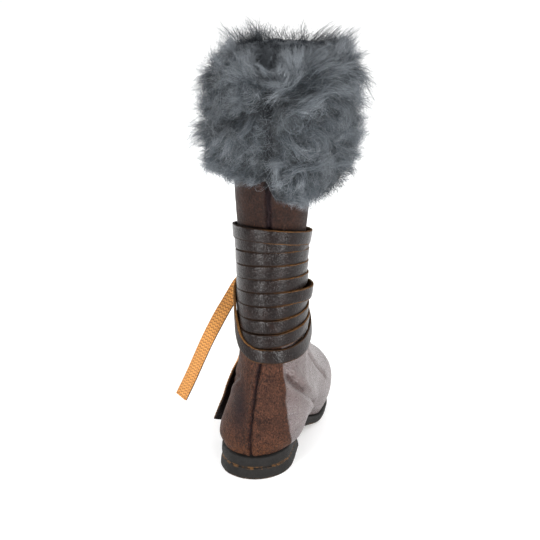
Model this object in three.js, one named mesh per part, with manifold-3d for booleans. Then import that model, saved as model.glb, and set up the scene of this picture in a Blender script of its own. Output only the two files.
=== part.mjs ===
// A doll's winter boot, right foot: leather upper on a low heel, a deep fur cuff round the top of the
// shaft, and a narrow strap wound ten times round the ankle and knotted on the inner side.
// Units are millimetres. +Z is up, +Y points to the toe and +X to the outer side of the foot.
// The origin is the centre of the heel's flat underside.
import * as THREE from 'three';
import { mergeVertices } from 'three/addons/utils/BufferGeometryUtils.js';
import Module from 'manifold-3d';

const wasm = await Module();
wasm.setup();

// Driving sizes
const clearance = 0.3;        // room between two curved pieces that meet
const soleClearance = 0.4;    // over the outsole, whose bend the flat faces cut across
const turnsClearance = 0.4;   // inside the strap's turns, which bridge the hollow over the instep
const wall = 0.9;             // leather of foot and shaft
const liftHeight = 2.6;       // heel lift under the outsole
const seatThickness = 2.6;    // outsole over the heel
const treadThickness = 1.6;   // outsole under the ball
const toeSpring = 1.5;
const soleMargin = 0.4;       // outsole stands out past the upper's lower edge
const liftFlare = 0.4;        // heel lift widens downwards
const insoleThickness = 0.9;
const strapWidth = 3.2;
const strapThickness = 0.8;
const around = 36;            // steps round the upper
const turnSteps = 28;         // and round each level turn of the strap

// Places along the foot
const heelY = 1.0;            // where the heel's width is measured
const ballY = 27.0;           // where the ball's width is measured
const breastY = 9.0;          // front face of the heel lift
const waistY = 11.5;          // the outsole starts to come down in front of the lift
const treadStartY = 25.0;     // the outsole lies flat on the ground from here
const springStartY = 35.0;    // to here, then rises to the toe
const heelRound = 8.8;        // length of the rounded back end
const toeRound = 17.0;        // length of the rounded front end
const toeFullness = 2.2;      // 2 is an ellipse, more is squarer
const toeSwing = 1.6;         // the toe turns in towards the inner side
const pinchY = 13.0;          // the foot is drawn in at the waist, low down
const pinchSpread = 6.5;
const pinchIn = 1.2;
const pinchOut = 1.5;
const soleFadeHeight = 12;    // the sole's curve dies out over this height of the upper

// The last, as rings from the sole's edge up to the collar. Each ring is a tilted loop round the leg:
// its back and front points, and how far it reaches to the inner and outer side at heel and ball.
const lastColumns = ['backY', 'backZ', 'frontY', 'frontZ', 'heelIn', 'heelOut', 'ballIn', 'ballOut'];
const lastRows = [
  [-8.3, 5.5, 46.0, 3.7, 7.4, 7.4, 9.5, 10.4],
  [-8.9, 7.6, 46.6, 6.0, 8.3, 9.7, 10.3, 11.6],
  [-9.0, 10.4, 45.6, 8.6, 8.0, 10.9, 10.5, 12.1],
  [-8.9, 13.4, 42.8, 11.0, 7.1, 11.6, 10.1, 12.0],
  [-8.6, 16.4, 38.6, 13.6, 6.1, 11.7, 9.3, 11.5],
  [-8.2, 19.0, 33.5, 16.4, 5.3, 11.5, 8.2, 10.9],
  [-7.7, 21.5, 28.0, 19.4, 4.7, 11.3, 7.1, 10.7],
  [-7.2, 24.0, 22.6, 22.8, 4.3, 11.0, 6.3, 10.6],
  [-6.8, 26.6, 17.7, 26.8, 4.0, 10.7, 5.6, 10.5],
  [-6.5, 29.6, 13.9, 31.4, 3.8, 10.1, 4.8, 10.5],
  [-6.3, 33.4, 11.4, 36.4, 3.7, 9.8, 4.2, 10.3],
  [-6.2, 40.0, 9.8, 42.0, 3.6, 9.7, 3.8, 9.7],
  [-6.3, 49.0, 9.3, 49.6, 3.8, 9.9, 3.8, 9.9],
  [-6.6, 57.0, 9.2, 57.0, 4.2, 10.6, 4.2, 10.6],
  [-7.1, 65.0, 9.4, 65.0, 4.7, 11.4, 4.7, 11.4],
  [-7.4, 77.0, 9.7, 77.0, 4.6, 11.9, 4.6, 11.9],
  [-7.6, 90.0, 9.9, 90.0, 4.5, 12.3, 4.5, 12.3],
];

// The strap's level turns, lowest first: height of the middle at the back, and how much higher it
// runs at the front and at the outer side.
const turnColumns = ['backZ', 'frontRise', 'outerRise'];
const turnRows = [
  [32.3, 1.6, 0.4],
  [35.6, 0.2, 0.4],
  [38.8, -1.0, 0.5],
  [41.9, -2.0, 0.5],
  [45.0, -2.6, 0.5],
  [48.0, -3.0, 0.5],
  [51.1, -3.2, 0.4],
  [54.1, -3.6, 0.0],
  [56.4, -4.2, -0.4],
];
const slackTurn = 3;          // this turn stands off the outer side in a loose loop
const slack = 1.2;

// The lowest turn leaves the knot, comes down over the others, goes round the back and the outer side
// and climbs the front to the knot again: angle round the leg in degrees, 0 at the front and 90 on
// the outer side, height, and how far it lies off the leather.
const slantColumns = ['angle', 'height', 'off'];
const slantRows = [
  [-69, 41.6, 1.0],
  [-98, 39.8, 1.0],
  [-114, 35.8, 0.95],
  [-132, 31.6, 0.75],
  [-155, 29.4, 0.45],
  [-180, 28.9, 0.35],
  [-220, 28.9, 0.35],
  [-260, 29.8, 0.45],
  [-300, 31.8, 0.85],
  [-335, 35.2, 1.05],
  [-370, 38.2, 1.0],
  [-391, 40.2, 1.0],
];

// The knot on the inner side towards the front: its place round the leg, and its size outwards, round
// the leg and upwards.
const knotAngle = THREE.MathUtils.degToRad(-49);
const knotHeight = 40.6;
const knotSize = { out: 2.4, round: 3.4, up: 3.8 };
// The two free ends of the strap, as points on their middle lines, with the way the flat side faces in
// degrees round the upright, counted as the strap's turns are.
const endColumns = ['x', 'y', 'z', 'face'];
const tanEndRows = [
  [-6.6, 6.7, 40.8, -142],
  [-7.1, 6.1, 38.7, -149],
  [-7.7, 5.2, 36.7, -155],
  [-8.75, 4.4, 34.2, -158],
  [-10.2, 3.6, 31.0, -156],
  [-11.9, 3.0, 27.4, -154],
  [-13.6, 2.6, 23.4, -152],
  [-15.6, 2.3, 18.6, -151],
  [-17.9, 2.0, 13.5, -151],
];
const darkEndRows = [
  [-4.6, 9.2, 37.7, -58],
  [-4.6, 9.7, 35.0, -60],
  [-4.4, 10.2, 31.0, -66],
  [-4.6, 11.0, 28.0, -70],
  [-5.1, 12.0, 25.0, -78],
  [-6.2, 13.0, 22.0, -88],
  [-7.8, 13.8, 18.0, -97],
  [-8.75, 13.8, 15.0, -98],
  [-9.35, 13.3, 12.0, -92],
  [-9.8, 12.5, 9.5, -80],
  [-10.7, 11.6, 6.6, -68],
  [-11.4, 11.0, 4.2, -62],
];

// Fur cuff
const cuffCentre = new THREE.Vector2(5.0, 1.3);
const cuffBottom = 69.4;
const cuffTop = 93.4;
const cuffRadius = 14.8;      // the thick pile under the locks
const cuffRimRadius = 11.6;   // and where it turns in above and below
const cuffAround = 30;
const seamGrooveDepth = 2.0;  // the pile parts along the back seam
const partingHalfAngle = 0.2; // no lock stands in the parting
const backDip = 2.4;          // the rim is lower at the back
const lowerEdgeStep = 3.8;    // the pile hangs lower on the outer side of the seam
// Rows of locks up the cuff. Each lock runs from a root to a tip, both as shares of the cuff's height,
// and its tip stands off the pile.
const lockColumns = ['root', 'tip', 'count', 'lift'];
const lockRows = [
  [0.32, -0.20, 9, 1.6],
  [0.56, 0.12, 10, 3.0],
  [0.78, 0.38, 10, 3.2],
  [0.98, 0.64, 9, 3.0],
  [0.80, 1.10, 9, 1.8],
];
const lockHalfWidth = 3.2;
const lockHalfThickness = 1.4;

function mix(a, b, t) {
  return a + (b - a) * t;
}

function smoothstep(from, to, value) {
  const t = Math.min(1, Math.max(0, (value - from) / (to - from)));
  return t * t * (3 - 2 * t);
}

// Smooth reading of a table between its rows, with the columns' names on the result.
function tableRow(columns, rows, place) {
  const index = Math.min(rows.length - 2, Math.max(0, Math.floor(place)));
  const t = place - index;
  const before = rows[Math.max(0, index - 1)];
  const low = rows[index];
  const high = rows[index + 1];
  const after = rows[Math.min(rows.length - 1, index + 2)];
  const entries = columns.map((name, column) => {
    const bend = 2 * before[column] - 5 * low[column] + 4 * high[column] - after[column];
    const twist = 3 * (low[column] - high[column]) + after[column] - before[column];
    const value = low[column] + 0.5 * t * (high[column] - before[column] + t * (bend + t * twist));
    return [name, value];
  });
  return Object.fromEntries(entries);
}

const lastAt = (place) => tableRow(lastColumns, lastRows, place);
const featherline = lastAt(0);

// Underside and top of the outsole over the ground, without margins.
function soleUnder(y) {
  const rise = 1 - smoothstep(waistY, treadStartY, y);
  const spring = Math.max(0, (y - springStartY) / (featherline.frontY - springStartY));
  return liftHeight * rise + toeSpring * spring * spring;
}

function soleTop(y) {
  const rise = 1 - smoothstep(waistY, treadStartY, y);
  return soleUnder(y) + mix(treadThickness, seatThickness, rise);
}

// How wide a ring is at y, on the inner (-1) or outer (+1) side, as a signed x.
function ringSide(row, y, side, margin = 0) {
  const back = row.backY - margin;
  const front = row.frontY + margin;
  const length = front - back;
  const backCap = Math.min(heelRound + margin, length / 2);
  const frontCap = Math.min(toeRound + margin, length - backCap);
  const fromBack = Math.min(1, Math.max(0, (y - back) / backCap));
  const fromFront = Math.min(1, Math.max(0, (front - y) / frontCap));
  const rounding = Math.sqrt(1 - (1 - fromBack) ** 2)
    * (1 - (1 - fromFront) ** toeFullness) ** (1 / toeFullness);
  const toBall = smoothstep(heelY, ballY, y);
  const half = side < 0
    ? mix(row.heelIn, row.ballIn, toBall)
    : mix(row.heelOut, row.ballOut, toBall);
  const other = side < 0
    ? mix(row.heelOut, row.ballOut, toBall)
    : mix(row.heelIn, row.ballIn, toBall);
  const centre = side * (half - other) / 2;
  const beyondBall = Math.max(0, (y - ballY) / (featherline.frontY - ballY));
  const swing = -toeSwing * beyondBall ** 2;
  const waist = Math.exp(-(((y - pinchY) / pinchSpread) ** 2)) * soleShare(row);
  const pinch = (side < 0 ? pinchIn : pinchOut) * waist;
  return centre + swing + side * ((half + other) / 2 + margin - pinch) * rounding;
}

// How much of the sole's shape a ring still has: all of it at the sole's edge, none above.
function soleShare(row) {
  return Math.max(0, 1 - (row.backZ - featherline.backZ) / soleFadeHeight);
}

// A point of the upper's outer face: place runs up the table's rows, angle is 0 at the toe and runs
// over the outer side to the back.
function skin(place, angle) {
  const row = lastAt(place);
  const t = (1 + Math.cos(angle)) / 2;
  const y = mix(row.backY, row.frontY, t);
  const chord = mix(soleTop(row.backY), soleTop(row.frontY), t);
  const z = mix(row.backZ, row.frontZ, t) + soleShare(row) * (soleTop(y) - chord);
  const x = ringSide(row, y, Math.sin(angle) < 0 ? -1 : 1);
  return new THREE.Vector3(x, y, z);
}

// The outer face's normal at that point.
function skinNormal(place, angle) {
  const step = 0.02;
  const top = lastRows.length - 1;
  const up = skin(Math.min(top, place + step), angle).sub(skin(Math.max(0, place - step), angle));
  const along = skin(place, angle + step).sub(skin(place, angle - step));
  const normal = up.cross(along).normalize();
  return normal;
}

// The place on the table's rows where the outer face reaches a height at an angle.
function placeAtHeight(height, angle) {
  let low = 0;
  let high = lastRows.length - 1;
  for (let turn = 0; turn < 24; turn += 1) {
    const middle = (low + high) / 2;
    if (skin(middle, angle).z < height) {
      low = middle;
    } else {
      high = middle;
    }
  }
  return (low + high) / 2;
}

// A point that stands off the leg by a distance, at a height and angle.
function offLeg(height, angle, distance) {
  const place = placeAtHeight(height, angle);
  const point = skin(place, angle);
  const outward = skinNormal(place, angle);
  outward.z = 0;
  return point.addScaledVector(outward.normalize(), distance);
}

// Closed solid through sections, each a loop of the same number of points. A ring of sections closes
// on itself, and an open run gets a flat face at each end.
function solidThrough(sections, ring) {
  const size = sections[0].length;
  const positions = sections.flat().flatMap((point) => [point.x, point.y, point.z]);
  const faces = [];
  const last = ring ? sections.length : sections.length - 1;
  for (let i = 0; i < last; i += 1) {
    const next = (i + 1) % sections.length;
    for (let j = 0; j < size; j += 1) {
      const side = (j + 1) % size;
      const a = i * size + j;
      const b = i * size + side;
      const c = next * size + side;
      const d = next * size + j;
      faces.push(a, b, c, a, c, d);
    }
  }
  if (!ring) {
    const end = (sections.length - 1) * size;
    for (let j = 1; j < size - 1; j += 1) {
      faces.push(0, j + 1, j);
      faces.push(end, end + j, end + j + 1);
    }
  }
  const geometry = new THREE.BufferGeometry();
  geometry.setAttribute('position', new THREE.Float32BufferAttribute(positions, 3));
  geometry.setIndex(faces);
  return facingOut(geometry);
}

// Turns the faces round when they point inwards.
function facingOut(geometry) {
  const index = geometry.index.array;
  const position = geometry.attributes.position;
  const corner = (k) => new THREE.Vector3().fromBufferAttribute(position, index[k]);
  let volume = 0;
  for (let k = 0; k < index.length; k += 3) {
    volume += corner(k).dot(corner(k + 1).cross(corner(k + 2)));
  }
  if (volume < 0) {
    for (let k = 0; k < index.length; k += 3) {
      const swap = index[k + 1];
      index[k + 1] = index[k + 2];
      index[k + 2] = swap;
    }
  }
  return geometry;
}

function toManifold(geometry) {
  const bare = mergeVertices(geometry);
  const vertProperties = new Float32Array(bare.attributes.position.array);
  const triVerts = new Uint32Array(bare.index.array);
  return new wasm.Manifold(new wasm.Mesh({ numProp: 3, vertProperties, triVerts }));
}

function fromManifold(solid) {
  const mesh = solid.getMesh();
  const geometry = new THREE.BufferGeometry();
  geometry.setAttribute('position', new THREE.BufferAttribute(mesh.vertProperties, 3));
  geometry.setIndex(new THREE.BufferAttribute(mesh.triVerts, 1));
  return geometry;
}

// One solid from several that run into each other, without the small pockets closed in between them.
function joined(geometries) {
  const solids = geometries.map(toManifold);
  const whole = solids.reduce((sum, solid) => sum.add(solid));
  const shells = whole.decompose();
  return fromManifold(shells.reduce((best, shell) => (shell.volume() > best.volume() ? shell : best)));
}

// A plate of the sole's outline between two heights. Its edge stands out by a margin below and above,
// and its front is cut straight where a breast is given.
function plate(count, under, top, lowMargin, topMargin, breast = Infinity) {
  const blunt = 0.08;   // a small flat at each end
  const stations = (margin) => {
    const from = featherline.backY - margin + blunt;
    const to = Math.min(breast, featherline.frontY + margin - blunt);
    const shares = Array.from({ length: count + 1 }, (_, i) => (1 - Math.cos((Math.PI * i) / count)) / 2);
    return shares.map((share) => mix(from, to, share));
  };
  const low = stations(lowMargin);
  const high = stations(topMargin);
  const corner = (side, y, height, margin) => new THREE.Vector3(
    ringSide(featherline, y, side, margin), y, height(y));
  const sections = low.map((y, i) => [
    corner(-1, y, under, lowMargin),
    corner(1, y, under, lowMargin),
    corner(1, high[i], top, topMargin),
    corner(-1, high[i], top, topMargin),
  ]);
  return solidThrough(sections, false);
}

function outsoleGeometry() {
  return plate(44, soleUnder, soleTop, soleMargin, soleMargin);
}

function heelLiftGeometry() {
  const under = () => 0;
  const top = () => liftHeight;
  return plate(18, under, top, soleMargin + liftFlare, soleMargin, breastY);
}

function insoleGeometry() {
  const inset = -(wall + 2 * clearance);
  const under = (y) => soleTop(y) + soleClearance;
  const top = (y) => soleTop(y) + soleClearance + insoleThickness;
  return plate(34, under, top, inset, inset);
}

// The hollow upper: outer face from the sole's edge to the collar, then the inner face back down.
function upperGeometry() {
  const rings = 24;
  const groove = 0.35;   // the sewn edges sink in along the back seam
  const sections = Array.from({ length: around }, (_, k) => {
    const angle = (2 * Math.PI * k) / around;
    const outer = [];
    const inner = [];
    for (let i = 0; i <= rings; i += 1) {
      const place = ((lastRows.length - 1) * i) / rings;
      const point = skin(place, angle);
      const normal = skinNormal(place, angle);
      if (i === 0 || i === rings) {
        normal.z = 0;
        normal.normalize();
      }
      const inside = point.clone().addScaledVector(normal, -wall);
      const sunk = k === around / 2 ? groove : 0;
      point.addScaledVector(normal, -sunk);
      if (i === 0) {
        point.z = soleTop(point.y) + soleClearance;
        inside.z = soleTop(inside.y) + soleClearance;
      }
      outer.push(point);
      inner.push(inside);
    }
    return outer.concat(inner.reverse());
  });
  return solidThrough(sections, true);
}

// Height of a level turn's middle at an angle round the leg.
function turnHeight(turn, angle) {
  const toFront = (1 + Math.cos(angle)) / 2;
  return turn.backZ + turn.frontRise * toFront + turn.outerRise * Math.sin(angle);
}

// The level turns lie edge to edge as one sleeve, with a groove between each two.
function sleeveGeometry(turns) {
  const steps = turnSteps;
  const groove = 0.35;
  const edge = 1.4;
  const backing = 6;
  const sections = Array.from({ length: steps }, (_, k) => {
    const angle = (2 * Math.PI * k) / steps;
    const heights = turns.map((turn) => turnHeight(turn, angle));
    const far = clearance + strapThickness;
    const outer = heights.flatMap((height, i) => {
      const thickness = i === slackTurn ? far - groove : far;
      const low = i === 0 ? height - strapWidth / 2 : height - edge;
      const next = heights[i + 1];
      const high = next === undefined ? height + strapWidth / 2 : Math.min(height + edge, next - edge - 0.3);
      const face = [offLeg(low, angle, thickness), offLeg(high, angle, thickness)];
      if (next === undefined) {
        return face;
      }
      return [...face, offLeg((high + next - edge) / 2, angle, far - groove)];
    });
    const bottom = heights[0] - strapWidth / 2;
    const top = heights[heights.length - 1] + strapWidth / 2;
    const inner = Array.from({ length: backing }, (_, i) => (
      offLeg(mix(top, bottom, i / (backing - 1)), angle, turnsClearance)));
    return outer.concat(inner);
  });
  return solidThrough(sections, true);
}

// The slack turn, on its own so that it stands off the outer side.
function slackGeometry(turn) {
  const steps = turnSteps;
  const edge = strapWidth / 2 - 0.1;
  const seated = clearance + 0.1;
  const sections = Array.from({ length: steps }, (_, k) => {
    const angle = (2 * Math.PI * k) / steps;
    const height = turnHeight(turn, angle);
    const near = seated + slack * Math.max(0, Math.sin(angle)) ** 6;
    const far = near + strapThickness;
    return [
      offLeg(height - edge, angle, near),
      offLeg(height - edge, angle, far),
      offLeg(height + edge, angle, far),
      offLeg(height + edge, angle, near),
    ];
  });
  return solidThrough(sections, true);
}

// A flat strap along a run of points, each with the way its face looks.
function strapGeometry(points, facings, thickness, ring) {
  const sections = points.map((point, i) => {
    const before = points[ring ? (i + points.length - 1) % points.length : Math.max(0, i - 1)];
    const after = points[ring ? (i + 1) % points.length : Math.min(points.length - 1, i + 1)];
    const along = after.clone().sub(before).normalize();
    const across = along.clone().cross(facings[i]).normalize().multiplyScalar(strapWidth / 2);
    const out = across.clone().cross(along).normalize().multiplyScalar(thickness / 2);
    const corner = (a, b) => point.clone().addScaledVector(across, a).addScaledVector(out, b);
    return [corner(-1, -1), corner(1, -1), corner(1, 1), corner(-1, 1)];
  });
  return solidThrough(sections, ring);
}

// The lowest turn, from the knot round the leg and back to it.
function slantGeometry() {
  const steps = 34;
  const points = [];
  const facings = [];
  for (let k = 0; k <= steps; k += 1) {
    const row = tableRow(slantColumns, slantRows, (k * (slantRows.length - 1)) / steps);
    const angle = THREE.MathUtils.degToRad(row.angle);
    const place = placeAtHeight(row.height, angle);
    const outward = skinNormal(place, angle);
    points.push(skin(place, angle).addScaledVector(outward, row.off + strapThickness / 2));
    facings.push(outward);
  }
  return strapGeometry(points, facings, strapThickness, false);
}

function wrapsGeometry() {
  const turns = turnRows.map((_, i) => tableRow(turnColumns, turnRows, i));
  return joined([sleeveGeometry(turns), slackGeometry(turns[slackTurn]), slantGeometry()]);
}

// The pulled-tight knot, a rounded lump on the turns.
function knotGeometry() {
  const lump = new THREE.SphereGeometry(0.5, 12, 8);
  lump.rotateX(Math.PI / 2);
  lump.scale(knotSize.round, knotSize.out, knotSize.up);
  lump.rotateZ(-knotAngle);
  const turnsThickness = 2.5 * clearance + strapThickness;
  const centre = offLeg(knotHeight, knotAngle, turnsThickness + knotSize.out / 2);
  lump.translate(centre.x, centre.y, centre.z);
  lump.deleteAttribute('normal');
  lump.deleteAttribute('uv');
  return mergeVertices(lump);
}

// A free end of the strap along its rows.
function freeEndGeometry(rows) {
  const steps = 16;
  const run = Array.from({ length: steps + 1 }, (_, i) => (
    tableRow(endColumns, rows, (i * (rows.length - 1)) / steps)));
  const points = run.map((row) => new THREE.Vector3(row.x, row.y, row.z));
  const facings = run.map((row) => {
    const face = THREE.MathUtils.degToRad(row.face);
    return new THREE.Vector3(Math.sin(face), Math.cos(face), 0);
  });
  return strapGeometry(points, facings, strapThickness, false);
}

// Radius of the pile round the cuff, parted along the back seam.
function cuffRadiusAt(angle, share) {
  const fromBack = Math.abs(angle - Math.PI);
  const parted = seamGrooveDepth * Math.exp(-((fromBack / 0.16) ** 2));
  const swell = Math.sin(Math.PI * share) ** 0.5;
  return mix(cuffRimRadius, cuffRadius, swell) - parted;
}

function cuffBottomAt(angle) {
  const outerBack = smoothstep(-0.12, 0.12, Math.PI - angle) * smoothstep(1.3, 2.4, angle);
  return cuffBottom - lowerEdgeStep * outerBack;
}

function cuffTopAt(angle) {
  const fromBack = Math.abs(angle - Math.PI);
  return cuffTop - backDip * Math.exp(-((fromBack / 0.5) ** 2));
}

// The cuff's core: an inner face on the shaft and a swollen outer face of pile.
function cuffCoreGeometry() {
  const outerSteps = 5;
  const innerSteps = 3;
  const sections = Array.from({ length: cuffAround }, (_, k) => {
    const angle = (2 * Math.PI * k) / cuffAround;
    const low = cuffBottomAt(angle);
    const high = cuffTopAt(angle);
    const outer = Array.from({ length: outerSteps + 1 }, (_, i) => {
      const share = i / outerSteps;
      const radius = cuffRadiusAt(angle, share);
      const x = cuffCentre.x + radius * Math.sin(angle);
      const y = cuffCentre.y + radius * Math.cos(angle);
      return new THREE.Vector3(x, y, mix(low, high, share));
    });
    const leatherTop = lastRows[lastRows.length - 1][1];
    const inner = Array.from({ length: innerSteps + 1 }, (_, i) => {
      const height = mix(leatherTop - 0.2, low + 0.6, i / innerSteps);
      return offLeg(height, angle, clearance);
    });
    const rim = offLeg(leatherTop - 0.2, angle, clearance + 0.6);
    rim.z = high;
    return [...outer, rim, ...inner];
  });
  return solidThrough(sections, true);
}

// A point over the pile, at an angle, a share of the cuff's height and a distance off.
function overPile(angle, share, off) {
  const radius = cuffRadiusAt(angle, Math.min(1, Math.max(0, share))) + off;
  const height = mix(cuffBottomAt(angle), cuffTopAt(angle), share);
  return new THREE.Vector3(
    cuffCentre.x + radius * Math.sin(angle), cuffCentre.y + radius * Math.cos(angle), height);
}

// A lock of pile: a broad flat tuft that lies on the cuff, drifts to one side and lifts to a blunt tip.
function lockGeometry(angle, row, drift) {
  const sides = 4;
  const shares = [0, 0.4, 0.75, 1];
  const swell = [0.75, 1, 0.7, 0.12];
  const centres = shares.map((t) => (
    overPile(angle + drift * t * t, mix(row.root, row.tip, t), mix(-1, row.lift, t ** 1.3))));
  const sections = centres.map((centre, i) => {
    const before = centres[Math.max(0, i - 1)];
    const after = centres[Math.min(centres.length - 1, i + 1)];
    const along = after.clone().sub(before).normalize();
    const radial = new THREE.Vector3(Math.sin(angle), Math.cos(angle), 0);
    const sideways = radial.cross(along).normalize();
    const out = along.cross(sideways);
    return Array.from({ length: sides }, (_, k) => {
      const turn = (2 * Math.PI * k) / sides;
      return centre.clone()
        .addScaledVector(sideways, lockHalfWidth * swell[i] * Math.cos(turn))
        .addScaledVector(out, lockHalfThickness * swell[i] * Math.sin(turn));
    });
  });
  return solidThrough(sections, false);
}

// The cuff: its core with every lock run into it.
function cuffGeometry() {
  const pieces = [cuffCoreGeometry()];
  lockRows.forEach((_, level) => {
    const row = tableRow(lockColumns, lockRows, level);
    for (let k = 0; k < row.count; k += 1) {
      const scatter = Math.sin(12.9 * k + 7.3 * level);
      const turned = (2 * Math.PI * (k + 0.5 * (level % 2) + 0.2 * scatter + 0.25)) / row.count;
      const angle = turned % (2 * Math.PI);
      if (Math.abs(angle - Math.PI) < partingHalfAngle) {
        continue;
      }
      const drift = 0.3 * Math.sin(3.7 * k + 1.9 * level);
      const lift = row.lift * (1 + 0.3 * Math.sin(5.1 * k + 2.2 * level));
      pieces.push(lockGeometry(angle, { ...row, lift }, drift));
    }
  });
  return joined(pieces);
}

function piece(name, geometry, color, roughness) {
  const material = new THREE.MeshStandardMaterial({ color, roughness, metalness: 0 });
  const mesh = new THREE.Mesh(geometry, material);
  mesh.name = name;
  return mesh;
}

const boot = new THREE.Group();
boot.add(piece('outsole', outsoleGeometry(), 0x2b2a28, 0.75));
boot.add(piece('heel_lift', heelLiftGeometry(), 0x262523, 0.75));
boot.add(piece('insole', insoleGeometry(), 0x8a6a4a, 0.9));
boot.add(piece('upper', upperGeometry(), 0x5b3a2c, 0.6));
boot.add(piece('strap_wraps', wrapsGeometry(), 0x2e2523, 0.35));
boot.add(piece('strap_knot', knotGeometry(), 0x2e2523, 0.35));
boot.add(piece('strap_end_tan', freeEndGeometry(tanEndRows), 0xb5793c, 0.8));
boot.add(piece('strap_end_dark', freeEndGeometry(darkEndRows), 0x211c1a, 0.4));
boot.add(piece('fur_cuff', cuffGeometry(), 0x55595d, 0.95));

export default boot;
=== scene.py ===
"""A doll's winter boot, right foot, standing on a pale floor.

All sizes are in millimetres until mesh_object turns them into metres. +Z is up, +Y points to the toe
and +X to the outer side of the foot. The origin is the centre of the heel's flat underside.
Angles round the leg are 0 at the front, a quarter turn on the outer side and half a turn at the back.
"""
import math

import bpy
import numpy as np
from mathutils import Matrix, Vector

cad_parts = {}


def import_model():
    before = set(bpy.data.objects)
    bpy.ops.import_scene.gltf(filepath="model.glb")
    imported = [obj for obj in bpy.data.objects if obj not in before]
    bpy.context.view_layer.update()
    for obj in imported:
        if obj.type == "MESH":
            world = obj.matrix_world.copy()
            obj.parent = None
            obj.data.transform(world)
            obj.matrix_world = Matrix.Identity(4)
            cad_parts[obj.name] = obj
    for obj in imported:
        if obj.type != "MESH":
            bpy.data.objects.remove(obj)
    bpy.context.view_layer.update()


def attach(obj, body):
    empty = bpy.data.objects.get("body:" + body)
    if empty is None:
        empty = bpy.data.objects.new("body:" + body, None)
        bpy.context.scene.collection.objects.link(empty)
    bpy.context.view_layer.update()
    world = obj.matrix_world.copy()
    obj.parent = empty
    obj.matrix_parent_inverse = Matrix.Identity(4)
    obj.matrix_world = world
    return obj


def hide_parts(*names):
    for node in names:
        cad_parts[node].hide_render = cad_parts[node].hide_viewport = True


MM = 0.001
TAU = 2 * math.pi

# Sizes shared by the pieces
CLEARANCE = 0.3
SOLE_CLEARANCE = 0.4
WALL = 0.9
LEAST_WALL = 0.2              # left under the deepest crease
LIFT_HEIGHT = 2.6
SEAT_THICKNESS = 2.6
TREAD_THICKNESS = 1.6
TOE_SPRING = 1.5
SOLE_MARGIN = 0.4
LIFT_FLARE = 0.4
INSOLE_THICKNESS = 0.9
STRAP_WIDTH = 3.2
STRAP_THICKNESS = 0.8
STRAP_SEEN_THICKNESS = 0.6
TURN_GAP = 0.12               # left between two level turns
KNIT_COLUMNS = 4
KNIT_PITCH = 0.78

# Places along the foot
HEEL_Y = 1.0
BALL_Y = 27.0
BREAST_Y = 9.0
WAIST_Y = 11.5
TREAD_START_Y = 25.0
SPRING_START_Y = 35.0
HEEL_ROUND = 8.8
TOE_ROUND = 17.0
TOE_FULLNESS = 2.2
TOE_SWING = 1.6
PINCH_Y = 13.0
PINCH_SPREAD = 6.5
PINCH_IN = 1.2
PINCH_OUT = 1.5
SOLE_FADE_HEIGHT = 12.0

# The last, as rings from the sole's edge up to the collar
LAST_COLUMNS = ("back_y", "back_z", "front_y", "front_z", "heel_in", "heel_out", "ball_in", "ball_out")
LAST = np.array([
    (-8.3, 5.5, 46.0, 3.7, 7.4, 7.4, 9.5, 10.4),
    (-8.9, 7.6, 46.6, 6.0, 8.3, 9.7, 10.3, 11.6),
    (-9.0, 10.4, 45.6, 8.6, 8.0, 10.9, 10.5, 12.1),
    (-8.9, 13.4, 42.8, 11.0, 7.1, 11.6, 10.1, 12.0),
    (-8.6, 16.4, 38.6, 13.6, 6.1, 11.7, 9.3, 11.5),
    (-8.2, 19.0, 33.5, 16.4, 5.3, 11.5, 8.2, 10.9),
    (-7.7, 21.5, 28.0, 19.4, 4.7, 11.3, 7.1, 10.7),
    (-7.2, 24.0, 22.6, 22.8, 4.3, 11.0, 6.3, 10.6),
    (-6.8, 26.6, 17.7, 26.8, 4.0, 10.7, 5.6, 10.5),
    (-6.5, 29.6, 13.9, 31.4, 3.8, 10.1, 4.8, 10.5),
    (-6.3, 33.4, 11.4, 36.4, 3.7, 9.8, 4.2, 10.3),
    (-6.2, 40.0, 9.8, 42.0, 3.6, 9.7, 3.8, 9.7),
    (-6.3, 49.0, 9.3, 49.6, 3.8, 9.9, 3.8, 9.9),
    (-6.6, 57.0, 9.2, 57.0, 4.2, 10.6, 4.2, 10.6),
    (-7.1, 65.0, 9.4, 65.0, 4.7, 11.4, 4.7, 11.4),
    (-7.4, 77.0, 9.7, 77.0, 4.6, 11.9, 4.6, 11.9),
    (-7.6, 90.0, 9.9, 90.0, 4.5, 12.3, 4.5, 12.3),
])
TOP_PLACE = len(LAST) - 1

# The strap's level turns, lowest first: height at the back, and how much higher the middle runs at
# the front and at the outer side
TURNS = np.array([
    (32.3, 1.6, 0.4),
    (35.6, 0.2, 0.4),
    (38.8, -1.0, 0.5),
    (41.9, -2.0, 0.5),
    (45.0, -2.6, 0.5),
    (48.0, -3.0, 0.5),
    (51.1, -3.2, 0.4),
    (54.1, -3.6, 0.0),
    (56.4, -4.2, -0.4),
])
SLACK_TURN = 3
SLACK = 1.2

# The lowest turn, from the knot round the back and the outer side to the knot again
SLANT_COLUMNS = ("angle", "height", "off")
SLANT = np.array([
    (-69, 41.6, 1.0),
    (-98, 39.8, 1.0),
    (-114, 35.8, 0.95),
    (-132, 31.6, 0.75),
    (-155, 29.4, 0.45),
    (-180, 28.9, 0.35),
    (-220, 28.9, 0.35),
    (-260, 29.8, 0.45),
    (-300, 31.8, 0.85),
    (-335, 35.2, 1.05),
    (-370, 38.2, 1.0),
    (-391, 40.2, 1.0),
])
KNOT_ANGLE = math.radians(-49)
KNOT_HEIGHT = 40.6

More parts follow.
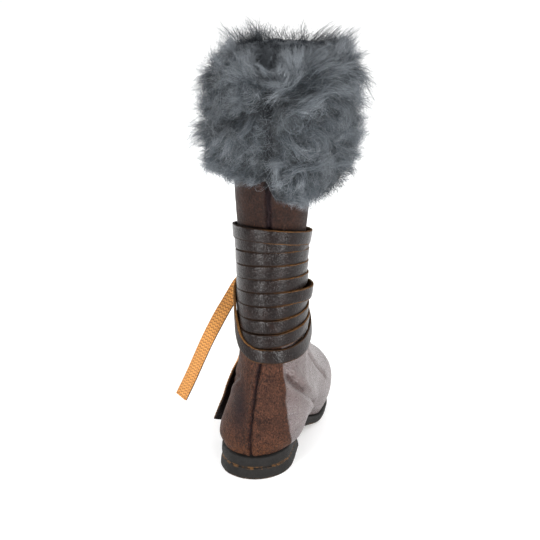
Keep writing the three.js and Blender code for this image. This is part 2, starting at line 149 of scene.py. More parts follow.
# The strap's two free ends: points on the middle line, and the way the knitted side faces
# in degrees round the leg
END_COLUMNS = ("x", "y", "z", "face")
TAN_END = np.array([
    (-4.7, 8.6, 40.6, -150),
    (-5.7, 7.6, 39.5, -152),
    (-6.6, 6.7, 37.9, -154),
    (-7.6, 5.7, 36.0, -156),
    (-8.75, 4.4, 33.9, -157),
    (-10.2, 3.6, 31.0, -156),
    (-11.9, 3.0, 27.4, -154),
    (-13.6, 2.6, 23.4, -152),
    (-15.6, 2.3, 18.6, -151),
    (-17.9, 2.0, 13.5, -151),
])
DARK_END = np.array([
    (-4.6, 9.2, 37.7, -58),
    (-4.6, 9.7, 35.0, -64),
    (-4.0, 10.4, 31.0, -82),
    (-4.2, 11.3, 28.0, -92),
    (-4.6, 12.3, 25.0, -98),
    (-5.6, 13.3, 22.0, -98),
    (-7.4, 14.2, 18.0, -90),
    (-8.45, 14.0, 15.0, -84),
    (-9.25, 13.3, 12.0, -76),
    (-9.8, 12.5, 9.5, -72),
    (-10.6, 11.6, 6.6, -58),
    (-11.3, 11.0, 4.2, -50),
])

# Fur cuff
CUFF_CENTRE = (5.0, 1.3)
CUFF_BOTTOM = 69.4
CUFF_TOP = 93.4
CUFF_RIM_RADIUS = 11.6
GROOVE_DEPTH = 2.6
BACK_DIP = 2.4
LOWER_EDGE_STEP = 3.8


# Numbers and tables

def mix(a, b, t):
    return a + (b - a) * t


def smoothstep(low, high, value):
    t = np.clip((value - low) / (high - low), 0, 1)
    return t * t * (3 - 2 * t)


def bell(distance, width):
    return np.exp(-((distance / width) ** 2))


def table_at(columns, rows, place):
    """Smooth reading of a table between its rows, as a dict of columns."""
    place = np.asarray(place, float)
    index = np.clip(np.floor(place).astype(int), 0, len(rows) - 2)
    t = (place - index)[..., None]
    before = rows[np.maximum(index - 1, 0)]
    low = rows[index]
    high = rows[index + 1]
    after = rows[np.minimum(index + 2, len(rows) - 1)]
    bend = 2 * before - 5 * low + 4 * high - after
    twist = 3 * (low - high) + after - before
    values = low + 0.5 * t * (high - before + t * (bend + t * twist))
    return {name: values[..., i] for i, name in enumerate(columns)}


def unit(vectors):
    return vectors / np.maximum(np.linalg.norm(vectors, axis=-1, keepdims=True), 1e-9)


def scattered(cell, seed):
    """A fixed number from 0 to 1 for each whole-numbered cell."""
    mixed = cell[..., 0] * 374761393 + cell[..., 1] * 668265263 + cell[..., 2] * 1274126177 + seed * 974711
    mixed = mixed & 0xFFFFFFFF
    mixed = ((mixed ^ (mixed >> 13)) * 1103515245) & 0xFFFFFFFF
    return ((mixed ^ (mixed >> 16)) & 0xFFFFFF) / 0xFFFFFF


def noise(points, size, seed=0):
    """Smooth noise from -1 to 1 whose lumps have the given size."""
    scaled = np.asarray(points, float) / size
    cell = np.floor(scaled).astype(np.int64)
    part = scaled - cell
    part = part * part * (3 - 2 * part)
    total = 0.0
    for corner in np.ndindex(2, 2, 2):
        weight = 1.0
        for axis in range(3):
            weight = weight * (part[..., axis] if corner[axis] else 1 - part[..., axis])
        total = total + weight * scattered(cell + np.array(corner), seed)
    return 2 * total - 1


# The last

def last_at(place):
    return table_at(LAST_COLUMNS, LAST, place)


FEATHER = last_at(0.0)


def sole_under(y):
    rise = 1 - smoothstep(WAIST_Y, TREAD_START_Y, y)
    spring = np.maximum(0, (y - SPRING_START_Y) / (FEATHER["front_y"] - SPRING_START_Y))
    return LIFT_HEIGHT * rise + TOE_SPRING * spring ** 2


def sole_top(y):
    rise = 1 - smoothstep(WAIST_Y, TREAD_START_Y, y)
    return sole_under(y) + mix(TREAD_THICKNESS, SEAT_THICKNESS, rise)


def sole_share(row):
    return np.maximum(0, 1 - (row["back_z"] - FEATHER["back_z"]) / SOLE_FADE_HEIGHT)


def ring_side(row, y, side, margin=0.0):
    """How far a ring reaches at y, on the inner (-1) or outer (+1) side, as a signed x."""
    back = row["back_y"] - margin
    front = row["front_y"] + margin
    length = front - back
    back_cap = np.minimum(HEEL_ROUND + margin, length / 2)
    front_cap = np.minimum(TOE_ROUND + margin, length - back_cap)
    from_back = np.clip((y - back) / back_cap, 0, 1)
    from_front = np.clip((front - y) / front_cap, 0, 1)
    rounding = np.sqrt(1 - (1 - from_back) ** 2)
    rounding = rounding * (1 - (1 - from_front) ** TOE_FULLNESS) ** (1 / TOE_FULLNESS)
    to_ball = smoothstep(HEEL_Y, BALL_Y, y)
    inner = mix(row["heel_in"], row["ball_in"], to_ball)
    outer = mix(row["heel_out"], row["ball_out"], to_ball)
    centre = (outer - inner) / 2
    beyond_ball = np.maximum(0, (y - BALL_Y) / (FEATHER["front_y"] - BALL_Y))
    swing = -TOE_SWING * beyond_ball ** 2
    waist = bell(y - PINCH_Y, PINCH_SPREAD) * sole_share(row)
    pinch = np.where(side < 0, PINCH_IN, PINCH_OUT) * waist
    return centre + swing + side * ((inner + outer) / 2 + margin - pinch) * rounding


def skin(place, angle):
    """A point of the upper's outer face."""
    row = last_at(place)
    t = (1 + np.cos(angle)) / 2
    y = mix(row["back_y"], row["front_y"], t)
    chord = mix(sole_top(row["back_y"]), sole_top(row["front_y"]), t)
    z = mix(row["back_z"], row["front_z"], t) + sole_share(row) * (sole_top(y) - chord)
    x = ring_side(row, y, np.where(np.sin(angle) < 0, -1, 1))
    return np.stack([x, y, z], axis=-1)


def skin_normal(place, angle):
    step = 0.02
    up = skin(np.minimum(TOP_PLACE, place + step), angle) - skin(np.maximum(0, place - step), angle)
    along = skin(place, angle + step) - skin(place, angle - step)
    return unit(np.cross(up, along))


def place_at_height(height, angle):
    height, angle = np.broadcast_arrays(np.asarray(height, float), np.asarray(angle, float))
    low = np.zeros(height.shape)
    high = np.full(height.shape, float(TOP_PLACE))
    for _ in range(24):
        middle = (low + high) / 2
        below = skin(middle, angle)[..., 2] < height
        low = np.where(below, middle, low)
        high = np.where(below, high, middle)
    return (low + high) / 2


def off_leg(height, angle, distance):
    """Points that stand off the leg by a distance, measured level."""
    place = place_at_height(height, angle)
    outward = skin_normal(place, angle)
    outward[..., 2] = 0
    return skin(place, angle) + unit(outward) * np.asarray(distance)[..., None]


# Meshes

def grid_faces(rows, columns, ring_rows=False, ring_columns=False):
    """Quads over a grid of points that was flattened row by row."""
    index = np.arange(rows * columns).reshape(rows, columns)
    if ring_rows:
        index = np.vstack([index, index[:1]])
    if ring_columns:
        index = np.hstack([index, index[:, :1]])
    a, b = index[:-1, :-1], index[:-1, 1:]
    c, d = index[1:, 1:], index[1:, :-1]
    return np.stack([a, b, c, d], axis=-1).reshape(-1, 4)


def mesh_object(name, points, faces, materials, face_material=None, values=None, uv=None):
    """An object in metres from points in millimetres. faces is a list of arrays of quads or triangles,
    values holds one number for each point under each name, and uv two."""
    mesh = bpy.data.meshes.new(name)
    points = np.asarray(points, float).reshape(-1, 3)
    mesh.vertices.add(len(points))
    mesh.vertices.foreach_set("co", (points * MM).astype(np.float32).ravel())
    corners = np.concatenate([f.ravel() for f in faces]).astype(np.int32)
    sizes = np.concatenate([np.full(len(f), f.shape[1]) for f in faces])
    starts = np.concatenate([[0], np.cumsum(sizes)[:-1]]).astype(np.int32)
    mesh.loops.add(len(corners))
    mesh.loops.foreach_set("vertex_index", corners)
    mesh.polygons.add(len(sizes))
    mesh.polygons.foreach_set("loop_start", starts)
    mesh.polygons.foreach_set("use_smooth", np.ones(len(sizes), bool))
    if face_material is not None:
        mesh.polygons.foreach_set("material_index", np.asarray(face_material, np.int32))
    for key, numbers in (values or {}).items():
        layer = mesh.attributes.new(key, "FLOAT", "POINT")
        layer.data.foreach_set("value", np.asarray(numbers, np.float32).ravel())
    if uv is not None:
        layer = mesh.uv_layers.new(name="UVMap")
        layer.data.foreach_set("uv", np.asarray(uv, np.float32).reshape(-1, 2)[corners].ravel())
    mesh.update(calc_edges=True)
    mesh.validate()
    for material in materials:
        mesh.materials.append(material)
    made = bpy.data.objects.new(name, mesh)
    bpy.context.scene.collection.objects.link(made)
    return made


def piece(made, slot, *nodes):
    """Puts a finished piece on the boot in place of its plain solids."""
    if nodes:
        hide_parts(*nodes)
    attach(made, "root")
    return made


# Materials

SOCKETS = {
    "base": "Base Color", "rough": "Roughness", "specular": "Specular IOR Level",
    "sheen": "Sheen Weight", "sheen_rough": "Sheen Roughness",
    "glow": "Emission Color", "glow_strength": "Emission Strength",
    "stretch": "Anisotropic", "stretch_turn": "Anisotropic Rotation", "tangent": "Tangent",
}


def colour(code):
    """A linear colour from six hex digits."""
    parts = [int(code[i:i + 2], 16) / 255 for i in (0, 2, 4)]
    linear = [p / 12.92 if p <= 0.04045 else ((p + 0.055) / 1.055) ** 2.4 for p in parts]
    return (*linear, 1.0)


class Finish:
    """A material whose nodes are added one by one."""

    def __init__(self, name):
        self.material = bpy.data.materials.new(name)
        self.material.use_nodes = True
        self.nodes = self.material.node_tree.nodes
        self.links = self.material.node_tree.links
        self.shader = self.nodes["Principled BSDF"]
        self.relief = None

    def put(self, socket, value):
        """Links a socket, or sets a plain value."""
        if isinstance(value, bpy.types.NodeSocket):
            self.links.new(value, socket)
        else:
            socket.default_value = value

    def set(self, **values):
        """Fills the shader's sockets by their short names."""
        for key, value in values.items():
            self.put(self.shader.inputs[SOCKETS[key]], value)
        return self

    def add(self, kind, inputs, **settings):
        """A new node with the given settings and inputs."""
        node = self.nodes.new(kind)
        for key, value in settings.items():
            setattr(node, key, value)
        for key, value in inputs.items():
            self.put(node.inputs[key], value)
        return node

    def coords(self, kind="Object"):
        return self.add("ShaderNodeTexCoord", {}).outputs[kind]

    def millimetres(self):
        """The place on the piece, in millimetres."""
        return self.mapped(self.coords(), scale=(1 / MM,) * 3)

    def value(self, name):
        """A number that the mesh carries at each point."""
        return self.add("ShaderNodeAttribute", {}, attribute_name=name).outputs["Fac"]

    def mapped(self, vector, scale=(1, 1, 1), rotation=(0, 0, 0)):
        inputs = {"Vector": vector, "Scale": scale, "Rotation": [math.radians(r) for r in rotation]}
        return self.add("ShaderNodeMapping", inputs).outputs["Vector"]

    def noise(self, vector, scale, detail=3.0, rough=0.55, distortion=0.0):
        inputs = {"Vector": vector, "Scale": scale, "Detail": detail, "Roughness": rough}
        inputs["Distortion"] = distortion
        return self.add("ShaderNodeTexNoise", inputs).outputs["Fac"]

    def cells(self, vector, scale, feature, **inputs):
        inputs = {"Vector": vector, "Scale": scale, **inputs}
        return self.add("ShaderNodeTexVoronoi", inputs, feature=feature).outputs["Distance"]

    def math(self, operation, a, b):
        return self.add("ShaderNodeMath", {0: a, 1: b}, operation=operation).outputs[0]

    def ramp(self, value, low, high, to_low=0.0, to_high=1.0):
        """A smooth step between two numbers while the value goes from low to high."""
        inputs = {"Value": value, "From Min": low, "From Max": high, "To Min": to_low, "To Max": to_high}
        return self.add("ShaderNodeMapRange", inputs, interpolation_type="SMOOTHSTEP").outputs["Result"]

    def blend(self, share, a, b):
        return self.add("ShaderNodeMix", {0: share, 6: a, 7: b}, data_type="RGBA").outputs[2]

    def colours(self, value, *stops):
        node = self.add("ShaderNodeValToRGB", {"Fac": value})
        elements = node.color_ramp.elements
        while len(elements) < len(stops):
            elements.new(0.5)
        for element, (position, code) in zip(elements, stops):
            element.position = position
            element.color = colour(code)
        return node.outputs["Color"]

    def height_of(self, vector):
        return self.add("ShaderNodeSeparateXYZ", {0: vector}).outputs["Z"]

    def join(self, x, y, z):
        return self.add("ShaderNodeCombineXYZ", {0: x, 1: y, 2: z}).outputs[0]

    def bump(self, height, distance):
        """Adds relief of a depth in millimetres on top of what is there."""
        node = self.add("ShaderNodeBump", {"Height": height, "Distance": distance * MM, "Strength": 1.0})
        if self.relief is not None:
            self.links.new(self.relief, node.inputs["Normal"])
        self.relief = node.outputs["Normal"]
        self.links.new(self.relief, self.shader.inputs["Normal"])
        return self


def foot_leather():
    """Brown leather with dark flecks. The outer side is smoother and glossier, with a fine pebble, and
    painted pale mauve: a painted sheen.
    """
    f = Finish("foot_leather")
    at = f.millimetres()
    pale = f.value("pale")
    cloud = f.noise(at, 0.25, 4.0, 0.6)
    fine = f.noise(at, 2.2, 4.0, 0.7)
    brown = f.colours(cloud, (0.32, "21130e"), (0.5, "301d15"), (0.68, "3e261b"))
    brown = f.blend(f.ramp(fine, 0.42, 0.7, 0.0, 0.7), brown, colour("563526"))
    brown = f.blend(f.math("MULTIPLY", f.value("low"), f.ramp(fine, 0.35, 0.7)), brown, colour("4c2e1a"))
    on_shaft = f.ramp(f.height_of(at), 42, 60, 0.0, 0.65)
    brown = f.blend(on_shaft, brown, colour("130c0a"))
    # darker along the seam and over the blotch on the inner heel, which is partly painted shade
    darkened = f.math("MULTIPLY", f.value("dark"), f.ramp(cloud, 0.2, 0.6, 0.65, 1.0))
    brown = f.blend(darkened, brown, colour("191013"))
    slanted = f.mapped(at, scale=(4.6, 4.6, 1.9), rotation=(30, -22, 0))
    flecks = f.ramp(f.noise(slanted, 1.05, 2.0, 0.5), 0.51, 0.61)
    specks = f.ramp(f.noise(at, 4.2, 2.0, 0.6), 0.56, 0.66)
    flecks = f.math("MAXIMUM", flecks, f.math("MULTIPLY", specks, 0.7))
    brown = f.blend(f.math("MULTIPLY", flecks, 0.78), brown, colour("0f0a09"))
    pebble = f.cells(at, 3.6, "SMOOTH_F1", Smoothness=0.4)
    # painted sheen: the smooth outer side is painted pale mauve, standing in for the reflection of its
    # bright surroundings
    mauve_sheen = f.colours(cloud, (0.3, "463b3b"), (0.55, "574b4b"), (0.75, "685e60"))
    mauve_sheen = f.blend(f.ramp(pebble, 0.3, 0.65, 0.0, 0.6), mauve_sheen, colour("3d2d2a"))
    # painted shade: darker above the ankle fold and along the bottoms of the creases
    mauve_sheen = f.blend(f.math("MULTIPLY", f.value("fold_shade"), 0.9), mauve_sheen, colour("361f1a"))
    f.set(base=f.blend(pale, brown, mauve_sheen), specular=f.ramp(pale, 0, 1, 0.08, 0.85))
    brown_rough = f.ramp(fine, 0.3, 0.7, 0.62, 0.5)
    f.set(rough=f.math("ADD", f.math("MULTIPLY", pale, -0.25), brown_rough))
    f.bump(fine, 0.12)
    f.bump(f.math("MULTIPLY", flecks, -1.0), 0.06)
    f.bump(f.math("MULTIPLY", pebble, f.ramp(pale, 0, 1, 0.15, 1.0)), 0.2)
    return f.material


def woven(name, low, high, stretched, scale, detail, relief, **finish):
    """A matt lining, mottled between two colours. stretched draws the mottling out level."""
    f = Finish(name)
    at = f.millimetres()
    if stretched:
        at = f.mapped(at, scale=(1, 1, stretched))
    weave = f.noise(at, scale, detail)
    f.set(base=f.colours(weave, (0.3, low), (0.7, high)), **finish)
    return f.bump(weave, relief).material


def strap_face():
    """Glossy, nearly black leather, finely crinkled."""
    f = Finish("strap_face")
    along = f.coords("UV")
    at = f.millimetres()
    bent = f.noise(f.mapped(along, scale=(0.8, 0.6, 1)), 1.2, 3.0, 0.6)
    bent = f.join(f.math("MULTIPLY", bent, 1.2), f.math("MULTIPLY", bent, -0.9), 0.0)
    slanted = f.mapped(along, scale=(2.3, 1.5, 1), rotation=(0, 0, 25))
    shifted = f.add("ShaderNodeVectorMath", {0: slanted, 1: bent}).outputs[0]
    crinkle = f.ramp(f.cells(shifted, 1.0, "DISTANCE_TO_EDGE"), 0.0, 0.3)
    ripple = f.noise(f.mapped(along, scale=(1.9, 1.2, 1), rotation=(0, 0, 20)), 1.0, 3.0, 0.6, 0.8)
    grain = f.noise(at, 4.0, 2.0)
    base = f.colours(f.noise(at, 0.4, 4.0), (0.3, "0c0605"), (0.6, "140b09"), (0.8, "1f120e"))
    # painted shade: darker along the troughs of the crinkles
    base = f.blend(f.ramp(crinkle, 0.5, 0.0, 0.0, 0.4), base, colour("060404"))
    f.set(base=base, rough=f.ramp(grain, 0.3, 0.7, 0.26, 0.33), specular=0.16)
    # The finish was drawn along the strap, so a lamp shows as a streak across it
    tangent = f.add("ShaderNodeTangent", {}, direction_type="UV_MAP", uv_map="UVMap").outputs["Tangent"]
    f.set(stretch=0.9, stretch_turn=0.25, tangent=tangent)
    f.bump(ripple, 0.045)
    f.bump(crinkle, 0.03)
    f.bump(grain, 0.012)
    return f.material


def strap_edge():
    """The strap's cut edge: nearly black where it is pressed in, ochre where it is open."""
    f = Finish("strap_edge")
    fray = f.noise(f.millimetres(), 2.4, 4.0, 0.7)
    ochre = f.colours(fray, (0.25, "2a1a0f"), (0.5, "54391f"), (0.75, "7d5a33"))
    shut = f.colours(fray, (0.3, "0f0a07"), (0.7, "24170e"))
    f.set(base=f.blend(f.value("open"), shut, ochre), rough=0.95, specular=0.08)
    return f.bump(fray, 0.15).material


def knit():
    """The strap's knitted backing, ochre, with painted shade darkening the hollows between its stitches."""
    f = Finish("knit")
    fine = f.noise(f.millimetres(), 6.0, 3.0)
    yarn = f.colours(fine, (0.3, "9a6529"), (0.55, "b67e3e"), (0.8, "ca9554"))
    base = f.blend(f.ramp(f.value("hollow_shade"), 0.25, 0.8, 0.0, 0.9), yarn, colour("5f3816"))
    f.set(base=base, rough=0.85, specular=0.25, sheen=0.25)
    return f.bump(fine, 0.05).material


def sole_rubber():
    """Charcoal sole with dusty specks, its seam line and lower edge rubbed to ochre."""
    f = Finish("sole_rubber")
    at = f.millimetres()
    fine = f.noise(at, 3.2, 4.0, 0.65)
    cloud = f.noise(at, 0.5, 3.0)
    base = f.colours(cloud, (0.3, "0d0c0b"), (0.7, "171514"))
    base = f.blend(f.ramp(fine, 0.58, 0.72, 0.0, 0.5), base, colour("34302c"))
    rubbed = f.math("MULTIPLY", f.value("rubbed"), f.ramp(f.noise(at, 1.1, 4.0, 0.7), 0.45, 0.58))
    base = f.blend(f.math("MULTIPLY", rubbed, 0.8), base, colour("6b4a26"))
    f.set(base=base, rough=f.ramp(fine, 0.3, 0.7, 0.6, 0.8), specular=0.16)
    f.bump(fine, 0.1)
    return f.bump(cloud, 0.12).material


def fur(name, root, middle, tip):
    """Pile, dark at the roots and paler at the tips: partly its own colour, partly painted shade deep in the
    pile.
    """
    f = Finish(name)
    pile_colour = f.colours(f.value("tone"), (0.0, root), (0.45, middle), (1.0, tip))
    f.set(base=pile_colour, rough=0.75, specular=0.12, sheen=0.15, sheen_rough=0.5)
    return f.material


# Upper

# Seam up the back of the foot and of the shaft: height, and how far to the outer side it runs
SEAM = np.array([
    (4.0, 0.4), (6.0, 0.4), (10.3, 0.2), (14.6, 0.75), (18.1, 1.0), (23.3, 1.5), (26.5, 2.0),
    (30.0, 2.6), (45.0, 3.6), (58.9, 4.1), (67.5, 4.0), (90.0, 3.9),
])
# Where the brown leather of the heel turns into the smooth outer side and its painted sheen, from the ankle
# down
PALE_EDGE = np.array([
    (4.5, 8.0, -2.0), (8.0, 8.0, -3.9), (11.2, 8.1, -5.8), (14.7, 8.05, -6.6), (18.4, 7.8, -6.7),
    (21.2, 7.6, -6.3), (23.5, 7.1, -6.1), (25.9, 6.9, -5.8), (29.0, 6.9, -5.6),
])
# Creases of the leather, as points on it
CREASES = (
    {"name": "ankle fold", "depth": 0.4, "width": 0.9, "line": 0.5, "ridge": 0.55,
     "points": ((7.6, -5.6, 25.0), (8.3, -5.2, 23.5), (9.5, -4.2, 21.6), (10.9, -2.1, 19.3),
                (11.4, 1.7, 16.4), (11.3, 6.5, 13.4), (10.2, 12.5, 9.8), (9.7, 15.9, 7.0))},
    {"name": "instep fold", "depth": 0.2, "width": 0.6, "line": 0.35, "ridge": 0.12,
     "points": ((10.6, 4.0, 26.0), (10.9, 7.2, 23.4), (11.1, 14.1, 18.3), (11.5, 20.6, 13.7),
                (11.8, 23.3, 10.9))},
    {"name": "front fold", "depth": 0.5, "width": 0.9, "line": 0.15, "ridge": 0.2,
     "points": ((8.6, 12.0, 26.4), (5.2, 16.4, 26.0), (1.8, 17.4, 26.4), (-2.0, 15.2, 26.4),
                (-4.4, 9.0, 26.0))},
    {"name": "inner ankle fold", "depth": 0.5, "width": 0.9, "line": 0.2, "ridge": 0.2,
     "points": ((-3.0, -4.2, 23.0), (-4.6, -1.0, 20.5), (-5.6, 3.5, 18.0), (-6.6, 9.0, 14.5),
                (-7.6, 14.0, 11.0))},
    {"name": "toe break", "depth": 0.25, "width": 0.9, "line": 0.1, "ridge": 0.12,
     "points": ((11.0, 27.5, 9.5), (6.5, 30.0, 15.6), (1.0, 30.4, 16.8), (-4.5, 29.2, 15.2),
                (-9.0, 26.6, 9.6))},
)
SEAM_DEPTH = 0.72
SEAM_WIDTHS = (0.26, 0.5)     # on the foot and on the shaft
LIP_HEIGHTS = (0.28, 0.15)    # of the leather pushed up beside it
LIP_AWAY = 0.75
LIP_WIDTH = 0.4
LINE_WIDTH = 0.3              # of the sharp line at the bottom of a crease
BEAD_HEIGHT = 0.3             # along the edge of the smooth outer side
BEAD_WIDTH = 0.32
# a dark blotch on the inner heel, deepened there as painted shade
BLOTCH_AND_SHADE_AT = (-2.4, 16.5)       # across and up the heel
BLOTCH_AND_SHADE_SIZE = (2.0, 5.5)
UPPER_AROUND = 236
INNER_ROWS = 32
STEP_CROWDING = 0.1925        # of the steps round the leg, at the back, where the seam runs, and the front


def distance_to_run(points, run):
    """Distance of each point from a run of straight pieces, and the share along it."""
    run = np.asarray(run, float)
    best = np.full(len(points), 1e9)
    share = np.zeros(len(points))
    for i in range(len(run) - 1):
        along = run[i + 1] - run[i]
        t = np.clip(((points - run[i]) @ along) / (along @ along), 0, 1)
        away = np.linalg.norm(points - run[i] - t[:, None] * along, axis=1)
        nearer = away < best
        best = np.where(nearer, away, best)
        share = np.where(nearer, (i + t) / (len(run) - 1), share)
    return best, share


def seam_x(z):
    return np.interp(z, SEAM[:, 0], SEAM[:, 1])


def pale_edge(z):
    """Where the edge of the smooth outer side runs at a height, as x and y."""
    return np.interp(z, PALE_EDGE[:, 0], PALE_EDGE[:, 1]), np.interp(z, PALE_EDGE[:, 0], PALE_EDGE[:, 2])


def smooth_and_sheen_share(points):
    """1 on the smooth outer side, which is glossier and carries the painted sheen, 0 on the brown heel and
    the inner side.
    """
    x, y, z = points.T
    edge_x, edge_y = pale_edge(z)
    beyond = (x - edge_x) * 0.6 + (y - edge_y) * 0.8
    outer = smoothstep(-0.15, 0.25, beyond) * smoothstep(2.0, 5.0, x)
    return outer * (1 - smoothstep(30, 33, z))


def leather_relief(points):
    """How far the leather stands out of its smooth shape."""
    x, y, z = points.T
    lift = 0.10 * noise(points, 4.0, 3) + 0.05 * noise(points, 1.7, 5)
    back = smoothstep(2.0, -1.5, y)
    ragged = 0.22 * noise(points * (0, 0, 1), 0.9, 8) + 0.16 * noise(points * (0, 0, 1), 0.4, 9)
    away = np.abs(x - seam_x(z) - ragged)
    on_shaft = smoothstep(45, 55, z)
    groove = bell(away, mix(*SEAM_WIDTHS, on_shaft)) * SEAM_DEPTH
    lips = bell(away - LIP_AWAY, LIP_WIDTH) * mix(*LIP_HEIGHTS, on_shaft)
    lift = lift + back * (lips - groove)
    for crease in CREASES:
        distance, share = distance_to_run(points, crease["points"])
        faded = smoothstep(0, 0.12, share) * smoothstep(1.0, 0.88, share)
        width = crease["width"] * (1 + 0.25 * noise(points, 2.5, 11))
        lift = lift - crease["depth"] * faded * bell(distance, width)
        lift = lift - crease["line"] * faded * bell(distance, LINE_WIDTH)
        lift = lift + crease["ridge"] * faded * bell(distance - 2 * width, 1.2 * width)
    wrinkled = smooth_and_sheen_share(points) * smoothstep(16, 20, z) * smoothstep(8, 5, np.abs(y - 1.5))
    lift = lift + 0.07 * wrinkled * noise(points * (1, 1, 2.2), 0.8, 15)
    edge_x, edge_y = pale_edge(z)
    bead = smoothstep(21.5, 23.5, z) * bell(np.hypot(x - edge_x, y - edge_y), BEAD_WIDTH)
    return np.maximum(lift + BEAD_HEIGHT * bead, LEAST_WALL - WALL)


def leather_shades(points):
    """How far each shade of the leather shows, at points of its smooth outer face. Some of them are painted
    light: the sheen of the smooth outer side, shade along the creases and above the ankle fold, and shade
    deepening the blotch on the inner heel.
    """
    x, y, z = points.T
    # the blotch on the inner heel: partly a real dark blotch, partly painted shade on that side
    blotch_and_shade = bell(x - BLOTCH_AND_SHADE_AT[0], BLOTCH_AND_SHADE_SIZE[0]) * bell(z - BLOTCH_AND_SHADE_AT[1], BLOTCH_AND_SHADE_SIZE[1])
    from_seam = x - seam_x(z)
    shaft_seam = bell(from_seam, 0.8) * smoothstep(48, 56, z)
    dark = smoothstep(0, -3, y) * np.clip(0.95 * blotch_and_shade + bell(from_seam, 0.3) + shaft_seam, 0, 1)
    # painted shade: the smooth side is darker above the ankle fold and along the bottom of each crease
    fold_shade = 0.6 * smoothstep(15, 20, z)
    for crease in CREASES:
        distance, share = distance_to_run(points, crease["points"])
        close = bell(distance, 0.35) + 0.35 * bell(distance, 1.2)
        crease_shade = np.clip(3 * crease["line"] * close, 0, 1) * smoothstep(0, 0.1, share)
        fold_shade = np.maximum(fold_shade, crease_shade)
    return {"pale": smooth_and_sheen_share(points), "dark": dark, "low": smoothstep(11, 6, z) * 0.7, "fold_shade": fold_shade}


def make_upper():
    """Foot and shaft in one: the outer face up to the collar, then the inner face back down."""
    turn = np.arange(UPPER_AROUND) / UPPER_AROUND
    angle = TAU * turn - STEP_CROWDING * np.sin(2 * TAU * turn)
    # Most rows are on the foot and where the shaft shows, fewest under the turns and the fur
    places = np.concatenate([
        np.linspace(0, 9.6, 132, endpoint=False),
        np.linspace(9.6, 12.6, 16, endpoint=False),
        np.linspace(12.6, 14.6, 40, endpoint=False),
        np.linspace(14.6, TOP_PLACE, 12),
    ])

    def face(rows):
        place, around = np.meshgrid(rows, angle, indexing="ij")
        place, around = place.ravel(), around.ravel()
        return place, skin(place, around), skin_normal(place, around)

    def seated(place, points):
        """The lowest row follows the sole."""
        low = place == 0
        points[low, 2] = sole_top(points[low, 1]) + SOLE_CLEARANCE
        return points

    place, smooth, normal = face(places)
    lift = leather_relief(smooth) * smoothstep(0.0, 0.25, place + 0.08)
    outer = seated(place, smooth + normal * lift[:, None])
    inner_place, inner, inner_normal = face(np.linspace(0, TOP_PLACE, INNER_ROWS)[::-1])
    inner = seated(inner_place, inner - WALL * inner_normal)
    rows = len(places) + INNER_ROWS
    lined = np.repeat(np.arange(rows) >= len(places), UPPER_AROUND).astype(int)
    values = {name: np.concatenate([share, np.zeros(len(inner))])
              for name, share in leather_shades(smooth).items()}
    lining = woven("lining", "5a4230", "8b6a4a", 2.5, 2.2, 2.0, 0.12, rough=0.9, specular=0.2)
    made = mesh_object("upper_leather", np.vstack([outer, inner]),
                       [grid_faces(rows, UPPER_AROUND, ring_rows=True, ring_columns=True)],
                       [foot_leather(), lining], lined, values)
    piece(made, "upper_leather", "upper")


# Sole

SOLE_MIDDLE_X = 1.0
SOLE_ROUNDING = 0.18
PLATE_RINGS = (0.96, 0.6, 0.25)    # how far the rings on a plate's flat sides are shrunk, middle first


def plate_points(count, under, top, low_margin, top_margin, breast=None, bulge=0.0, levels=9):
    """Rings of a plate of the sole's outline, from the middle of its underside to the middle of its top."""
    shares = (1 - np.cos(math.pi * np.arange(count + 1) / count)) / 2
    rings = []

    def ring(margin, height, shrink=0.0):
        low = FEATHER["back_y"] - margin + 0.02
        high = FEATHER["front_y"] + margin - 0.02 if breast is None else breast
        y = mix(low, high, shares)
        outer = np.stack([ring_side(FEATHER, y, 1, margin), y], axis=-1)
        inner = np.stack([ring_side(FEATHER, y, -1, margin), y], axis=-1)[::-1]
        flat = np.vstack([outer, inner])
        centre = np.array([SOLE_MIDDLE_X, flat[:, 1].mean()])
        flat = centre + (flat - centre) * (1 - shrink)
        rings.append(np.column_stack([flat, height(flat[:, 1])]))

    for shrink in PLATE_RINGS:
        ring(low_margin - SOLE_ROUNDING, under, shrink)
    ring(low_margin - SOLE_ROUNDING, under)
    for i in range(levels):
        t = i / (levels - 1)
        margin = mix(low_margin, top_margin, t) + bulge * math.sin(math.pi * t)
        ring(margin, lambda y, t=t: mix(under(y) + SOLE_ROUNDING, top(y) - SOLE_ROUNDING, t))
    ring(top_margin - SOLE_ROUNDING, top)
    for shrink in PLATE_RINGS[::-1]:
        ring(top_margin - SOLE_ROUNDING, top, shrink)
    return np.array(rings)


def make_sole_part(name, rings, material, slot, rubbed, node):
    rows, columns = rings.shape[:2]
    points = rings.reshape(-1, 3)
    faces = grid_faces(rows, columns, ring_columns=True)
    first = np.arange(columns)[::-1][None, :]
    last = (rows - 1) * columns + np.arange(columns)[None, :]
    points = points + 0.06 * noise(points, 2.5, 21)[:, None] * np.array([1, 1, 0])
    made = mesh_object(name, points, [faces, first, last], [material], values={"rubbed": rubbed(points)})
    piece(made, slot, node)


